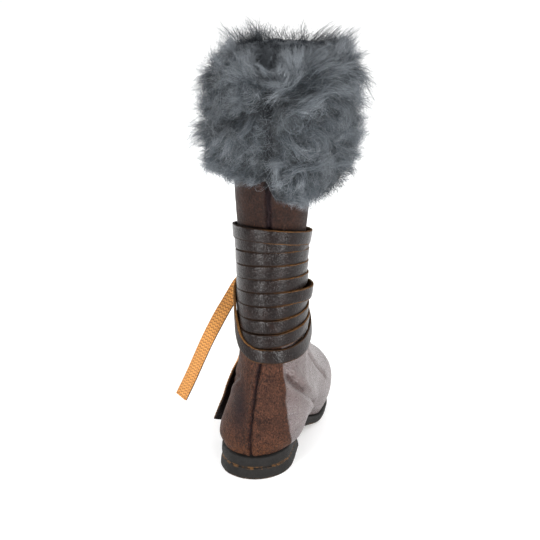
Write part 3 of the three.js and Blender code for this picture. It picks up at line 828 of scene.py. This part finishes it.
def make_sole():
    rubber = sole_rubber()

    def outsole_rubbed(points):
        y, z = points[:, 1], points[:, 2]
        return smoothstep(0.35, 0.1, z - sole_under(y)) * np.where(y < BREAST_Y + 1, 0.9, 0.8)

    def lift_rubbed(points):
        z = points[:, 2]
        return smoothstep(LIFT_HEIGHT - 0.3, LIFT_HEIGHT - 0.1, z) + 0.7 * smoothstep(0.25, 0.1, z)

    def insole_under(y):
        return sole_top(y) + SOLE_CLEARANCE

    outsole = plate_points(90, sole_under, sole_top, SOLE_MARGIN, SOLE_MARGIN, bulge=0.12)
    make_sole_part("outsole_rubber", outsole, rubber, "sole", outsole_rubbed, "outsole")
    lift = plate_points(60, lambda y: 0 * y, lambda y: LIFT_HEIGHT + 0 * y, SOLE_MARGIN + LIFT_FLARE,
                        SOLE_MARGIN, breast=BREAST_Y, bulge=0.08)
    make_sole_part("heel_lift_rubber", lift, rubber, "sole", lift_rubbed, "heel_lift")
    inset = -(WALL + 2 * CLEARANCE)
    insole = plate_points(60, insole_under, lambda y: insole_under(y) + INSOLE_THICKNESS, inset, inset,
                          levels=4)
    cloth = woven("insole_cloth", "6e5138", "93704e", None, 2.0, 3.0, 0.15, rough=0.95, specular=0.2)
    make_sole_part("insole_sheet", insole, cloth, "lining", lambda points: 0 * points[:, 0], "insole")


# Strap

# The strap's section: place across it, place through it, and whether what follows is its face (0) or
# its edge and back (1)
SECTION = np.array([
    (-0.44, 0.44, 0), (-0.3, 0.5, 0), (-0.15, 0.52, 0), (0.0, 0.53, 0), (0.15, 0.52, 0), (0.3, 0.5, 0),
    (0.44, 0.44, 1), (0.5, 0.3, 1), (0.5, 0.0, 1), (0.5, -0.4, 1), (0.45, -0.5, 1), (0.15, -0.5, 1),
    (-0.15, -0.5, 1), (-0.45, -0.5, 1), (-0.5, -0.4, 1), (-0.5, 0.0, 1), (-0.5, 0.3, 1),
])

FACE_PART, EDGE_PART, KNIT_PART = 0, 1, 2
EDGE_ROUGHNESS = 0.04
RIBBON_SHIFT = 37.0           # keeps the crinkles of one turn apart from those of the next
TURN_STEPS = 170
SLANT_STEPS = 200
# The knot's loops: how far their long axis leans up in radians, reach along it and outwards, and width
KNOT_LOOPS = ((0.2, 1.45, 0.85, 2.6), (1.15, 1.3, 0.75, 2.2))
KNOT_OFF = 1.3
END_STEPS = 200
END_WIDE = 24
KNIT_RELIEF = 0.15
KNIT_SUNK = 0.07
END_OPEN = 0.25


def ribbon(centres, outs, closed, width=STRAP_WIDTH, tilt=0.0, opened=0.0):
    """Points, faces, parts, flat coordinates and openness of a strap along a run of centres. tilt leans
    its upper edge outwards, in millimetres."""
    count = len(centres)
    if closed:
        along = np.roll(centres, -1, axis=0) - np.roll(centres, 1, axis=0)
    else:
        along = np.gradient(centres, axis=0)
    along = unit(along)
    across = unit(np.cross(along, outs))
    across = np.where(across[:, 2:] < 0, -across, across)
    out = unit(np.cross(across, along))
    out = np.where(np.sum(out * outs, axis=1, keepdims=True) < 0, -out, out)
    side = SECTION[:, 0]
    lean = np.broadcast_to(tilt, count)[:, None] * (side[None, :] + 0.5)
    shift = SECTION[None, :, 1] * STRAP_SEEN_THICKNESS + lean
    sideways = across[:, None, :] * (side * width)[None, :, None]
    points = (centres[:, None, :] + sideways + out[:, None, :] * shift[..., None]).reshape(-1, 3)
    edge = np.abs(np.tile(side, count)) > 0.4
    wobble = EDGE_ROUGHNESS * noise(points, 0.7, 31) + 1.5 * EDGE_ROUGHNESS * noise(points, 2.3, 32)
    points = points + np.repeat(across, len(SECTION), axis=0) * (wobble * edge)[:, None]
    length = np.concatenate([[0], np.cumsum(np.linalg.norm(np.diff(centres, axis=0), axis=1))])
    uv = np.stack([np.repeat(length, len(SECTION)), np.tile(side * width, count)], axis=-1)
    faces = grid_faces(count, len(SECTION), ring_rows=closed, ring_columns=True)
    parts = np.tile(SECTION[:, 2], count if closed else count - 1).astype(int)
    return points, faces, parts, uv, np.repeat(np.broadcast_to(opened, count), len(SECTION))


def joined(ribbons):
    """One set of points, faces, parts, flat coordinates and openness from several."""
    moved = []
    start = 0
    for i, (points, faces, parts, uv, opened) in enumerate(ribbons):
        moved.append((points, faces + start, parts, uv + np.array([RIBBON_SHIFT * i, 0]), opened))
        start += len(points)
    return [np.concatenate(group) for group in zip(*moved)]


def level_turn(i):
    """One level turn of the strap. On the outer side its upper edge leans out and shows ochre."""
    angle = TAU * np.arange(TURN_STEPS) / TURN_STEPS
    back, front_rise, outer_rise = TURNS[i]
    height = back + front_rise * ((1 + np.cos(angle)) / 2) + outer_rise * np.sin(angle)
    uneven = noise(np.stack([angle * 3, angle * 0, angle * 0 + 9 * i], -1), 1.0, 41)
    middle = CLEARANCE + STRAP_SEEN_THICKNESS / 2 + 0.05 * uneven
    if i == SLACK_TURN:
        middle = middle + SLACK * np.maximum(0, np.sin(angle)) ** 6
    centres = off_leg(height, angle, middle)
    outs = centres - off_leg(height, angle, np.zeros(TURN_STEPS))
    outer_side = smoothstep(0.35, 1.0, np.sin(angle - 0.2))
    top = i == len(TURNS) - 1
    tilt = 0.05 + 0.35 * outer_side + 0.1 * top
    opened = np.maximum(0.7 * outer_side, 0.7 * top * smoothstep(-0.2, 0.4, np.sin(angle)))
    return ribbon(centres + unit(outs) * 0.2 * top, outs, True, STRAP_WIDTH - TURN_GAP, tilt, opened)


def slanting_turn():
    row = table_at(SLANT_COLUMNS, SLANT, np.linspace(0, len(SLANT) - 1, SLANT_STEPS))
    angle = np.radians(row["angle"])
    place = place_at_height(row["height"], angle)
    outs = skin_normal(place, angle)
    centres = skin(place, angle) + outs * (row["off"] + STRAP_SEEN_THICKNESS / 2)[:, None]
    opened = mix(0.2, 1.0, smoothstep(-185, -150, row["angle"]))
    return ribbon(centres, outs, False, tilt=0.12, opened=opened)


def make_wraps(face, edge):
    ribbons = [level_turn(i) for i in range(len(TURNS))] + [slanting_turn()]
    points, faces, parts, uv, opened = joined(ribbons)
    section = np.arange(len(SECTION))[None, :]
    start = len(points) - len(ribbons[-1][0]) + section
    tip = len(points) - 1 - section
    parts = np.concatenate([parts, [EDGE_PART, EDGE_PART]])
    made = mesh_object("strap_turns", points, [faces, start, tip], [face, edge], parts, {"open": opened}, uv)
    piece(made, "strap_leather", "strap_wraps")


def make_knot(face, edge):
    """The knot: one loop pulled round the strap's turns and a second crossing it."""
    off = np.array(2.5 * CLEARANCE + STRAP_THICKNESS + KNOT_OFF)
    centre = off_leg(np.array(KNOT_HEIGHT), np.array(KNOT_ANGLE), off)
    out = np.array([math.sin(KNOT_ANGLE), math.cos(KNOT_ANGLE), 0.0])
    side = np.array([-out[1], out[0], 0.0])
    up = np.array([0.0, 0.0, 1.0])
    turned = TAU * np.arange(72) / 72
    cos, sin = np.cos(turned)[:, None], np.sin(turned)[:, None]
    ribbons = []
    for lean, reach, reach_out, width in KNOT_LOOPS:
        axis = math.cos(lean) * side + math.sin(lean) * up
        ring = centre + cos * axis * reach + sin * out * reach_out
        outward = cos * axis * reach_out + sin * out * reach
        ribbons.append(ribbon(ring, unit(outward), True, width))
    points, faces, parts, uv, opened = joined(ribbons)
    made = mesh_object("strap_knot_tied", points, [faces], [face, edge], parts, {"open": opened}, uv)
    return piece(made, "strap_leather", "strap_knot")


def stitches(share, steps):
    """Height of the knit's loops, which lie in columns along the strap."""
    column = (share[None, :] + 1) / 2 * KNIT_COLUMNS
    leg = np.abs(column - np.floor(column) - 0.5) * 2
    in_row = (steps[:, None] / KNIT_PITCH + 0.55 * leg) % 1.0
    return np.sin(math.pi * in_row) ** 0.8 * np.cos((leg - 0.5) * math.pi * 0.95) ** 0.6


def make_free_end(name, rows, slot, node, materials):
    """A free end of the strap, with its knitted backing on the side that it faces with and leather on
    the other. Gives the piece, its middle line and its length."""
    row = table_at(END_COLUMNS, rows, np.linspace(0, len(rows) - 1, END_STEPS))
    centres = np.stack([row["x"], row["y"], row["z"]], axis=-1)
    facing = np.radians(row["face"])
    outs = np.stack([np.sin(facing), np.cos(facing), 0 * facing], axis=-1)
    along = unit(np.gradient(centres, axis=0))
    across = unit(np.cross(along, outs))
    out = unit(np.cross(across, along))[:, None, :]
    steps = np.concatenate([[0], np.cumsum(np.linalg.norm(np.diff(centres, axis=0), axis=1))])
    share = np.linspace(-1, 1, END_WIDE)
    rounded = 0.12 * (1 - np.clip((1 - np.abs(share)) / 0.08, 0, 1)) ** 2
    half = STRAP_SEEN_THICKNESS / 2 - rounded[None, :]
    loops = stitches(share, steps)
    flat = centres[:, None, :] + across[:, None, :] * (share * STRAP_WIDTH / 2)[None, :, None]
    knit_side = flat + out * (half + (KNIT_RELIEF * loops - KNIT_SUNK))[..., None]
    leather_side = flat - out * half[..., None]
    points = np.concatenate([knit_side, leather_side[:, ::-1]], axis=1).reshape(-1, 3)
    round_count = 2 * END_WIDE
    faces = grid_faces(END_STEPS, round_count, ring_columns=True)
    section = np.arange(round_count)
    caps = np.array([section[::-1], (END_STEPS - 1) * round_count + section])
    part = np.array([KNIT_PART] * (END_WIDE - 1) + [EDGE_PART] + [FACE_PART] * (END_WIDE - 1) + [EDGE_PART])
    parts = np.concatenate([np.tile(part, END_STEPS - 1), [EDGE_PART, EDGE_PART]])
    # painted shade: darker where the knit sinks between its loops
    hollow_shade = 1 - np.clip(loops, 0, 1)
    values = {
        "hollow_shade": np.concatenate([hollow_shade, hollow_shade[:, ::-1]], axis=1),
        "open": np.full(len(points), END_OPEN),
    }
    ring_share = np.concatenate([share, share[::-1]])
    uv = np.stack([np.repeat(steps, round_count), np.tile(ring_share * STRAP_WIDTH / 2, END_STEPS)], axis=-1)
    made = mesh_object(name, points, [faces, caps], materials, parts, values, uv)
    return piece(made, slot, node), centres, float(steps[-1])


def make_strap():
    materials = [strap_face(), strap_edge(), knit()]
    make_wraps(*materials[:2])
    knot = make_knot(*materials[:2])
    for name, rows, slot, node, carried in (
            ("strap_end_knit_side", TAN_END, "strap_backing", "strap_end_tan", [knot]),
            ("strap_end_leather_side", DARK_END, "strap_leather", "strap_end_dark", [])):
        made, run, length = make_free_end(name, rows, slot, node, materials)


# Fur cuff

GROOVE_WIDTH = 0.13           # in radians round the leg
CORE_AROUND = 150
CORE_ROWS = 90
UNDERFUR = 24000
LOCK_PIECES = 3
LOCKS_EACH = 440
LOCK_HAIRS = 40
CURL_HAIRS = 70
STRAYS = 3200
OUTSIDE = slice(2, 10)        # the rows of the cuff's section that face outwards


def groove_share(angle, width=GROOVE_WIDTH):
    return bell(angle - math.pi, width)


def cuff_low(angle):
    outer_back = smoothstep(-0.12, 0.12, math.pi - angle) * smoothstep(1.3, 2.4, angle)
    return CUFF_BOTTOM - LOWER_EDGE_STEP * outer_back


def cuff_high(angle):
    return CUFF_TOP - BACK_DIP * bell(angle - math.pi, 0.5)


# Locks that stand out: where round the leg and how far up the cuff they start, the way they head (0 up
# and 90 to the right, seen from outside), length, how far they curl to the right, how far they lie
# down (90 flat), thickness and shade
SHAPED_COLUMNS = ("angle", "share", "heading", "length", "curl", "lean", "thick", "tone")
SHAPED = np.array([
    (148, 0.50, 10, 12, 320, 95, 0.6, 0.62),
    (152, 0.48, 20, 12, 330, 95, 0.6, 0.6),
    (130, 0.52, -10, 12, 320, 95, 0.6, 0.58),
    (154, 0.70, 10, 9, 70, 98, 0.8, 0.62),
    (140, 0.84, 80, 8, 50, 98, 0.8, 0.62),
    (204, 0.90, 200, 12, -190, 97, 0.7, 0.62),
    (208, 0.52, 210, 8, 10, 97, 0.5, 0.66),
    (200, 0.96, 170, 9.5, 20, 95, 0.6, 0.6),
    (176, 0.97, -30, 7, -15, 66, 0.25, 0.72),
    (190, 0.97, 105, 10, -30, 95, 0.5, 0.66),
    (128, 0.99, -8, 7, 10, 30, 1.2, 0.58),
    (134, 0.99, 4, 7, -8, 24, 1.1, 0.6),
    (140, 0.99, 8, 6, 6, 28, 1.1, 0.56),
    (97, 0.86, 70, 7, 150, 75, 0.9, 0.5),
    (92, 0.55, 100, 6, 120, 70, 0.8, 0.5),
    (226, 0.99, -5, 10, 170, 40, 0.5, 0.52),
    (236, 0.9, -60, 6, 60, 70, 0.9, 0.5),
    (168, 0.22, 30, 8, 60, 96, 0.7, 0.58),
    (150, 0.26, 80, 8, -40, 96, 0.7, 0.58),
    (136, 0.24, 60, 8, 50, 96, 0.7, 0.57),
    (118, 0.2, 100, 6, -60, 85, 0.9, 0.54),
    (222, 0.2, 230, 6, 60, 80, 0.9, 0.5),
    (-66, 0.99, -10, 7, 30, 34, 1.5, 0.6),
    (-52, 0.99, 8, 6, -20, 26, 1.4, 0.58),
    (-36, 0.99, -6, 8, 25, 30, 1.4, 0.62),
    (-20, 0.99, 10, 6, -30, 22, 1.5, 0.6),
    (-6, 0.99, -8, 5, 20, 26, 1.5, 0.58),
    (10, 0.99, 12, 7, 30, 24, 1.4, 0.62),
    (24, 0.99, -14, 8, -40, 28, 1.4, 0.6),
    (40, 0.99, 6, 6, 20, 24, 1.5, 0.6),
    (54, 0.99, -8, 8, 35, 30, 1.4, 0.58),
    (70, 0.99, 10, 7, -20, 34, 1.5, 0.6),
    (140, 0.80, -70, 8, -50, 96, 0.7, 0.58),
    (215, 0.66, 40, 9, 90, 96, 0.7, 0.56),
    (190, 0.62, 195, 6, 40, 96, 0.6, 0.56),
    (163, 0.55, 170, 7, -40, 96, 0.6, 0.56),
    (122, 0.72, 150, 9, 120, 96, 0.8, 0.56),
    (110, 0.40, 30, 8, 150, 92, 0.8, 0.54),
])

# The cuff's section from its underside, up the outside, over the rim and down into the shaft: radius
# over the rim's, height as a share of the cuff's, and how much of the lumps of pile it carries
PROFILE_COLUMNS = ("radius", "share", "lumps")
PROFILE = np.array([
    (-1.9, 0.08, 0.0), (-0.6, 0.0, 0.3), (1.0, 0.02, 0.8), (2.4, 0.14, 1.0), (3.2, 0.32, 1.0),
    (3.3, 0.52, 1.0), (3.1, 0.7, 1.0), (2.4, 0.86, 1.0), (1.0, 0.97, 0.8), (-0.8, 1.0, 0.4),
    (-2.6, 0.97, 0.2), (-4.0, 0.88, 0.0), (-4.7, 0.72, 0.0), (-4.9, 0.5, 0.0),
])
CUFF_END = len(PROFILE) - 1


def pile(place, angle):
    """A point of the pile's surface: place runs along the section, angle round the leg."""
    row = table_at(PROFILE_COLUMNS, PROFILE, place)
    parted = GROOVE_DEPTH * groove_share(angle) * row["lumps"]
    around = np.stack([8 * np.sin(angle), 8 * np.cos(angle), row["share"] * 22], axis=-1)
    lumps = row["lumps"] * (2.4 * noise(around, 5.5, 51) + 1.2 * noise(around, 2.8, 52))
    radius = CUFF_RIM_RADIUS + row["radius"] - parted + lumps
    z = mix(cuff_low(angle), cuff_high(angle), row["share"])
    centre_x = mix(CUFF_CENTRE[0], 4.0, smoothstep(9.0, 12.0, place))
    return np.stack([centre_x + radius * np.sin(angle), CUFF_CENTRE[1] + radius * np.cos(angle), z], axis=-1)


def pile_frame(place, angle):
    """Outward, up-the-section and round-the-leg directions of the pile's surface."""
    step = 0.05
    up = unit(pile(np.minimum(CUFF_END, place + step), angle) - pile(np.maximum(0, place - step), angle))
    round_ = unit(pile(place, angle + step) - pile(place, angle - step))
    out = unit(np.cross(round_, up))
    centre = np.stack([np.sin(angle), np.cos(angle), 0 * angle], axis=-1)
    wrong = (np.sum(out * centre, axis=-1, keepdims=True) < 0) & (place < 8.5)[..., None]
    return np.where(wrong, -out, out), up, round_


def strands(rng, roots, out, heading, length, curl, lean, points_each, wave, spread=None, gather=0.0):
    """Middle lines of hairs. Each leaves its root along out, leans over to heading and curls. spread sets
    the hairs of a bundle apart, and gather draws them together towards the tip."""
    count = len(roots)
    t = np.linspace(0, 1, points_each)
    side = np.cross(out, heading)
    places = np.zeros((count, points_each, 3))
    position = roots.copy()
    places[:, 0] = position
    for k in range(1, points_each):
        middle = (t[k] + t[k - 1]) / 2
        bent = lean[:, 0] + (lean[:, 1] - lean[:, 0]) * middle
        spun = curl * middle
        flat = np.cos(spun)[:, None] * heading + np.sin(spun)[:, None] * side
        direction = np.cos(bent)[:, None] * out + np.sin(bent)[:, None] * flat
        position = position + direction * (length / (points_each - 1))[:, None]
        places[:, k] = position
    if spread is not None:
        places = places + spread[:, None, :] * (1 - gather * t ** 0.9)[None, :, None]
    phase = rng.uniform(0, TAU, (count, 2))
    swing = rng.uniform(1.5, 3.5, count)[:, None] * t
    amount = wave * t[None, :] * length[:, None] / 6
    sideways = amount * np.sin(swing * 3 + phase[:, :1])
    outward = amount * np.sin(swing * 4 + phase[:, 1:])
    places = places + side[:, None, :] * sideways[..., None]
    return places + out[:, None, :] * outward[..., None]


def strand_mesh(rng, places, width):
    """Flat tapering ribbons along the strands: points, quads, triangles at the tips, and how far along
    its strand each point of one lies."""
    count, each = places.shape[:2]
    along = unit(np.gradient(places, axis=1))
    outward = places[:, :1] - np.array([*CUFF_CENTRE, 0.0])
    outward[..., 2] = 0.3 * np.hypot(outward[..., 0], outward[..., 1])
    facing = unit(0.7 * rng.normal(size=(count, 1, 3)) + unit(outward))
    across = unit(np.cross(along, facing))
    taper = np.linspace(1, 0.25, each) ** 0.8
    half = across * (width[:, None] * taper[None, :])[..., None] / 2
    points = np.stack([(places - half)[:, :-1], (places + half)[:, :-1]], axis=2).reshape(count, -1, 3)
    points = np.concatenate([points, places[:, -1:]], axis=1)
    size = points.shape[1]
    start = (np.arange(count) * size)[:, None]
    quads = [start + np.array([2 * k, 2 * k + 1, 2 * k + 3, 2 * k + 2]) for k in range(each - 2)]
    tips = start + np.array([2 * (each - 2), 2 * (each - 2) + 1, size - 1])
    level = np.concatenate([np.repeat(np.linspace(0, 1, each)[:-1], 2), [1.0]])
    return points.reshape(-1, 3), np.vstack(quads), tips, level


def make_hairs(name, rng, places, width, tone, material, gain=0.75):
    """A piece of hairs. gain is how much paler each gets from root to tip, partly the pile's colour and
    partly painted shade at the roots.
    """
    points, quads, tips, level = strand_mesh(rng, places, width)
    shade = np.clip(tone[:, None] + gain * (level[None, :] - 0.5), 0, 1)
    piece(mesh_object(name, points, [quads, tips], [material], values={"tone": shade}), "fur")


def heading_for(place, up, round_, turned):
    """The way strands lean: down the cuff below, up at the rim and inwards over it, turned by an angle."""
    rise = smoothstep(6.2, 8.4, place) * 2 - 1
    return unit(np.cos(turned)[:, None] * (up * rise[:, None]) + np.sin(turned)[:, None] * round_)


def flow_turn(points):
    """How far the pile's lie is turned at a point, as a slowly changing swirl."""
    return 2.6 * noise(points, 7.5, 71) + 1.2 * noise(points, 3.2, 72)


def away_from_groove(angle, turned):
    """The pile's turn near the groove, where it is combed off to both sides."""
    return mix(turned, np.sign(angle - math.pi) * math.pi / 2, groove_share(angle, 0.22))


def tone_at(place, points, level):
    """Tone of the pile: painted light makes it pale over the rim and inside it, painted shade makes it dark
    in the groove, with soft clouds elsewhere.
    """
    angle = np.arctan2(points[:, 0] - CUFF_CENTRE[0], points[:, 1] - CUFF_CENTRE[1]) % TAU
    # painted shade in the groove, and painted light over the rim and inside, where the pile lies in shadow
    groove = 0.45 * groove_share(angle, 0.06) * (1 - smoothstep(7.0, 8.0, place))
    inside = smoothstep(6.6, 8.6, place)
    return level + 0.5 * inside + 0.2 * (1 - inside) * noise(points, 3.0, 62) - groove


def disc(rng, radius, first, second):
    """Offsets at a radius, each turned by chance in the plane of two directions."""
    turn = rng.uniform(0, TAU, len(radius))
    return (radius * np.cos(turn))[:, None] * first + (radius * np.sin(turn))[:, None] * second


def make_core(core_shade, main):
    """The dense heart of the pile, which the hairs stand on. Its outer face takes darker colours than the
    hairs, as painted shade in the gaps between them.
    """
    places = np.linspace(0, CUFF_END, CORE_ROWS)
    angles = TAU * np.arange(CORE_AROUND) / CORE_AROUND
    place, angle = (grid.ravel() for grid in np.meshgrid(places, angles, indexing="ij"))
    points = pile(place, angle)
    points = points + pile_frame(place, angle)[0] * (0.25 * noise(points, 0.9, 55) - 0.35)[:, None]
    inside = np.repeat(places[:-1] > 6.8, CORE_AROUND).astype(int)
    faces = grid_faces(CORE_ROWS, CORE_AROUND, ring_columns=True)
    tone = tone_at(place, points, 0.3)
    core = mesh_object("fur_cuff_core", points, [faces], [core_shade, main], inside, {"tone": tone})
    piece(core, "fur", "fur_cuff")


def make_underfur(rng, material):
    """Short dense pile."""
    place = rng.uniform(0.1, CUFF_END - 0.1, UNDERFUR)
    angle = rng.uniform(0, TAU, UNDERFUR)
    out, up, round_ = pile_frame(place, angle)
    roots = pile(place, angle) - out * 0.4
    turned = away_from_groove(angle, flow_turn(roots) + rng.normal(0, 0.6, UNDERFUR))
    heading = heading_for(place, up, round_, turned)
    length = rng.uniform(2.6, 5.0, UNDERFUR) * (1 - 0.6 * groove_share(angle, 0.12))
    length = length * mix(0.4, 1.0, smoothstep(0.5, 3.5, place))
    lean = np.stack([rng.uniform(0.2, 0.8, UNDERFUR), rng.uniform(1.0, 1.7, UNDERFUR)], axis=-1)
    hairs = strands(rng, roots, out, heading, length, rng.normal(0, 0.9, UNDERFUR), lean, 5, 0.5)
    tone = tone_at(place, roots, 0.34) + rng.normal(0, 0.06, UNDERFUR)
    width = rng.uniform(0.045, 0.085, UNDERFUR)
    make_hairs("fur_cuff_underfur", rng, hairs, width, tone, material, 0.6)


def make_locks(name, rng, material):
    """Long locks, each a loose bundle that follows the swirl of the pile."""
    place = rng.uniform(0.6, CUFF_END - 1.5, LOCKS_EACH)
    angle = rng.uniform(0, TAU, LOCKS_EACH)
    clear = groove_share(angle) < 0.35
    place, angle = place[clear], angle[clear]
    n = len(place)
    centre = pile(place, angle)
    turned = away_from_groove(angle, flow_turn(centre) + rng.normal(0, 0.35, n))
    curl = 2.6 * noise(centre, 6.0, 74) + rng.normal(0, 0.7, n)
    lock_length = rng.uniform(4.5, 9.5, n) * np.where(place > 7.5, 0.8, 1.0)
    lock_length = lock_length * mix(0.3, 1.0, smoothstep(0.5, 4.5, place))
    lock_length = lock_length * (1 - 0.5 * groove_share(angle, 0.25))
    low_lean = rng.uniform(0.3, 0.9, n)
    high_lean = rng.uniform(1.2, 1.9, n)
    lock_tone = tone_at(place, centre, 0.47) + 0.11 * rng.normal(0, 1, n)
    size = rng.uniform(0.7, 1.7, n)
    out, up, round_ = pile_frame(place, angle)
    heading = heading_for(place, up, round_, turned)
    owner = np.repeat(np.arange(n), LOCK_HAIRS)
    total = len(owner)
    radius = size[owner] * np.sqrt(rng.uniform(0, 1, total))
    spread = disc(rng, radius, up[owner], round_[owner])
    roots = centre[owner] - out[owner] * rng.uniform(0.3, 0.7, total)[:, None]
    length = lock_length[owner] * rng.uniform(0.5, 1.1, total)
    leans = [low_lean[owner] + rng.normal(0, 0.2, total), high_lean[owner] + rng.normal(0, 0.2, total)]
    hairs = strands(rng, roots, out[owner], heading[owner], length, curl[owner] + rng.normal(0, 0.35, total),
                    np.stack(leans, axis=-1), 6, 0.4, spread, 0.72)
    tone = lock_tone[owner] + rng.normal(0, 0.08, total)
    make_hairs(name, rng, hairs, rng.uniform(0.035, 0.07, total), tone, material)


def make_curls(rng, material):
    """Locks that stand out singly: curls, loops and wisps."""
    rows = {name: SHAPED[:, i] for i, name in enumerate(SHAPED_COLUMNS)}
    owner = np.repeat(np.arange(len(SHAPED)), CURL_HAIRS)
    total = len(owner)
    place = np.interp(rows["share"], PROFILE[OUTSIDE, 1], np.arange(OUTSIDE.start, OUTSIDE.stop))
    angle = np.radians(rows["angle"])
    centre = pile(place, angle)
    out = np.stack([np.sin(angle), np.cos(angle), 0 * angle], axis=-1)
    upright = np.tile([0.0, 0.0, 1.0], (len(SHAPED), 1))
    right = np.cross(upright, out)
    turned = np.radians(rows["heading"])
    heading = np.cos(turned)[:, None] * upright + np.sin(turned)[:, None] * right
    radius = rows["thick"][owner] * rng.uniform(0, 1, total) ** 0.6
    spread = disc(rng, radius, upright[owner], right[owner])
    spread = spread + 0.7 * (radius * rng.normal(0, 1, total))[:, None] * out[owner]
    lean = np.stack([rng.uniform(0.5, 0.9, total), np.radians(rows["lean"])[owner]], axis=-1)
    curl = -np.radians(rows["curl"])[owner] * rng.uniform(0.8, 1.15, total)
    length = rows["length"][owner] * rng.uniform(0.45, 1.05, total)
    hairs = strands(rng, centre[owner], out[owner], heading[owner], length, curl, lean, 11, 0.3,
                    1.5 * spread, 0.35)
    tone = rows["tone"][owner] - 0.06 + rng.normal(0, 0.12, total)
    make_hairs("fur_cuff_curls", rng, hairs, rng.uniform(0.04, 0.08, total), tone, material, 0.25)


def make_strays(rng, material):
    """Single hairs that stand off the pile."""
    place = rng.uniform(3.0, CUFF_END - 1.0, STRAYS)
    angle = rng.uniform(0, TAU, STRAYS)
    out, up, round_ = pile_frame(place, angle)
    heading = heading_for(place, up, round_, rng.normal(0, 1.3, STRAYS))
    length = rng.uniform(3.0, 7.5, STRAYS)
    lean = np.stack([rng.uniform(0.0, 0.9, STRAYS), rng.uniform(0.9, 2.3, STRAYS)], axis=-1)
    hairs = strands(rng, pile(place, angle), out, heading, length, rng.normal(0, 1.8, STRAYS), lean, 7, 0.7)
    tone = np.full(STRAYS, 0.7)
    make_hairs("fur_cuff_strays", rng, hairs, rng.uniform(0.03, 0.06, STRAYS), tone, material, 0.5)


def make_cuff():
    rng = np.random.default_rng(7)
    main = fur("pile_main", "181b1e", "3e4348", "7b8085")
    make_core(fur("pile_core_shade", "1b1d20", "33373a", "4d5155"), main)
    make_underfur(rng, main)
    for i in range(LOCK_PIECES):
        make_locks(f"fur_cuff_locks_{i + 1}", rng, main)
    make_curls(rng, main)
    make_strays(rng, main)


# Camera, floor and light

CAMERA_AT = (62.6, -297.8, 157.3)
AIM_AT = (2.6, 2.0, 45.5)
BOOT_MIDDLE = (3.0, 2.0, 45.0)
LENS = 100.0
SENSOR = 36.0
FLOOR_GLOW = 0.22
FLOOR_HALF = 3000.0


def make_camera():
    data = bpy.data.cameras.new("camera")
    data.lens = LENS
    data.sensor_width = SENSOR
    data.clip_start = 0.01
    data.clip_end = 20
    camera = bpy.data.objects.new("camera", data)
    at = Vector(CAMERA_AT) * MM
    towards = Vector(AIM_AT) * MM - at
    camera.location = at
    camera.rotation_euler = towards.to_track_quat("-Z", "Y").to_euler()
    bpy.context.scene.collection.objects.link(camera)
    bpy.context.scene.camera = camera


def make_floor():
    f = Finish("floor")
    f.set(base=(0.9, 0.9, 0.9, 1), rough=0.9, specular=0.1, glow=(1, 1, 1, 1), glow_strength=FLOOR_GLOW)
    size = FLOOR_HALF
    points = [(-size, -size, 0), (size, -size, 0), (size, size, 0), (-size, size, 0)]
    floor = mesh_object("floor", points, [np.array([[0, 1, 2, 3]])], [f.material])


def make_light(name, azimuth, elevation, distance, size, power, aim=BOOT_MIDDLE):
    """A soft lamp, seen from the boot at an azimuth of 0 behind the heel and 90 on the outer side. The
    camera doesn't see the lamp itself."""
    data = bpy.data.lights.new(name, "AREA")
    data.shape = "RECTANGLE"
    data.size, data.size_y = size
    data.energy = power
    lamp = bpy.data.objects.new(name, data)
    a, e = math.radians(azimuth), math.radians(elevation)
    centre = Vector(aim) * MM
    back = Vector((math.sin(a) * math.cos(e), -math.cos(a) * math.cos(e), math.sin(e)))
    lamp.location = centre + back * distance
    lamp.rotation_euler = (-back).to_track_quat("-Z", "Y").to_euler()
    lamp.visible_camera = False
    bpy.context.scene.collection.objects.link(lamp)


def make_lights():
    world = bpy.data.worlds.new("world")
    world.use_nodes = True
    background = world.node_tree.nodes["Background"]
    background.inputs["Color"].default_value = (1.0, 1.0, 1.0, 1)
    background.inputs["Strength"].default_value = 0.18
    bpy.context.scene.world = world
    make_light("top", 10, 60, 0.9, (0.7, 0.7), 2.6)
    make_light("beyond", 180, 62, 1.1, (2.4, 1.0), 17.0, aim=(-60.0, 650.0, 0.0))
    make_light("left_strip", -22, -3, 0.22, (0.03, 0.06), 0.58)
    make_light("right_strip", 43, -3, 0.22, (0.028, 0.06), 0.52)
    make_light("right_panel", 112, 12, 0.36, (0.5, 0.22), 1.5)
    make_light("left_panel", -112, 10, 0.36, (0.45, 0.22), 1.3)


def main():
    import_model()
    scene = bpy.context.scene
    scene.view_settings.view_transform = "Standard"
    make_camera()
    make_strap()
    make_upper()
    make_sole()
    make_cuff()
    make_floor()
    make_lights()
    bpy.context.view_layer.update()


main()
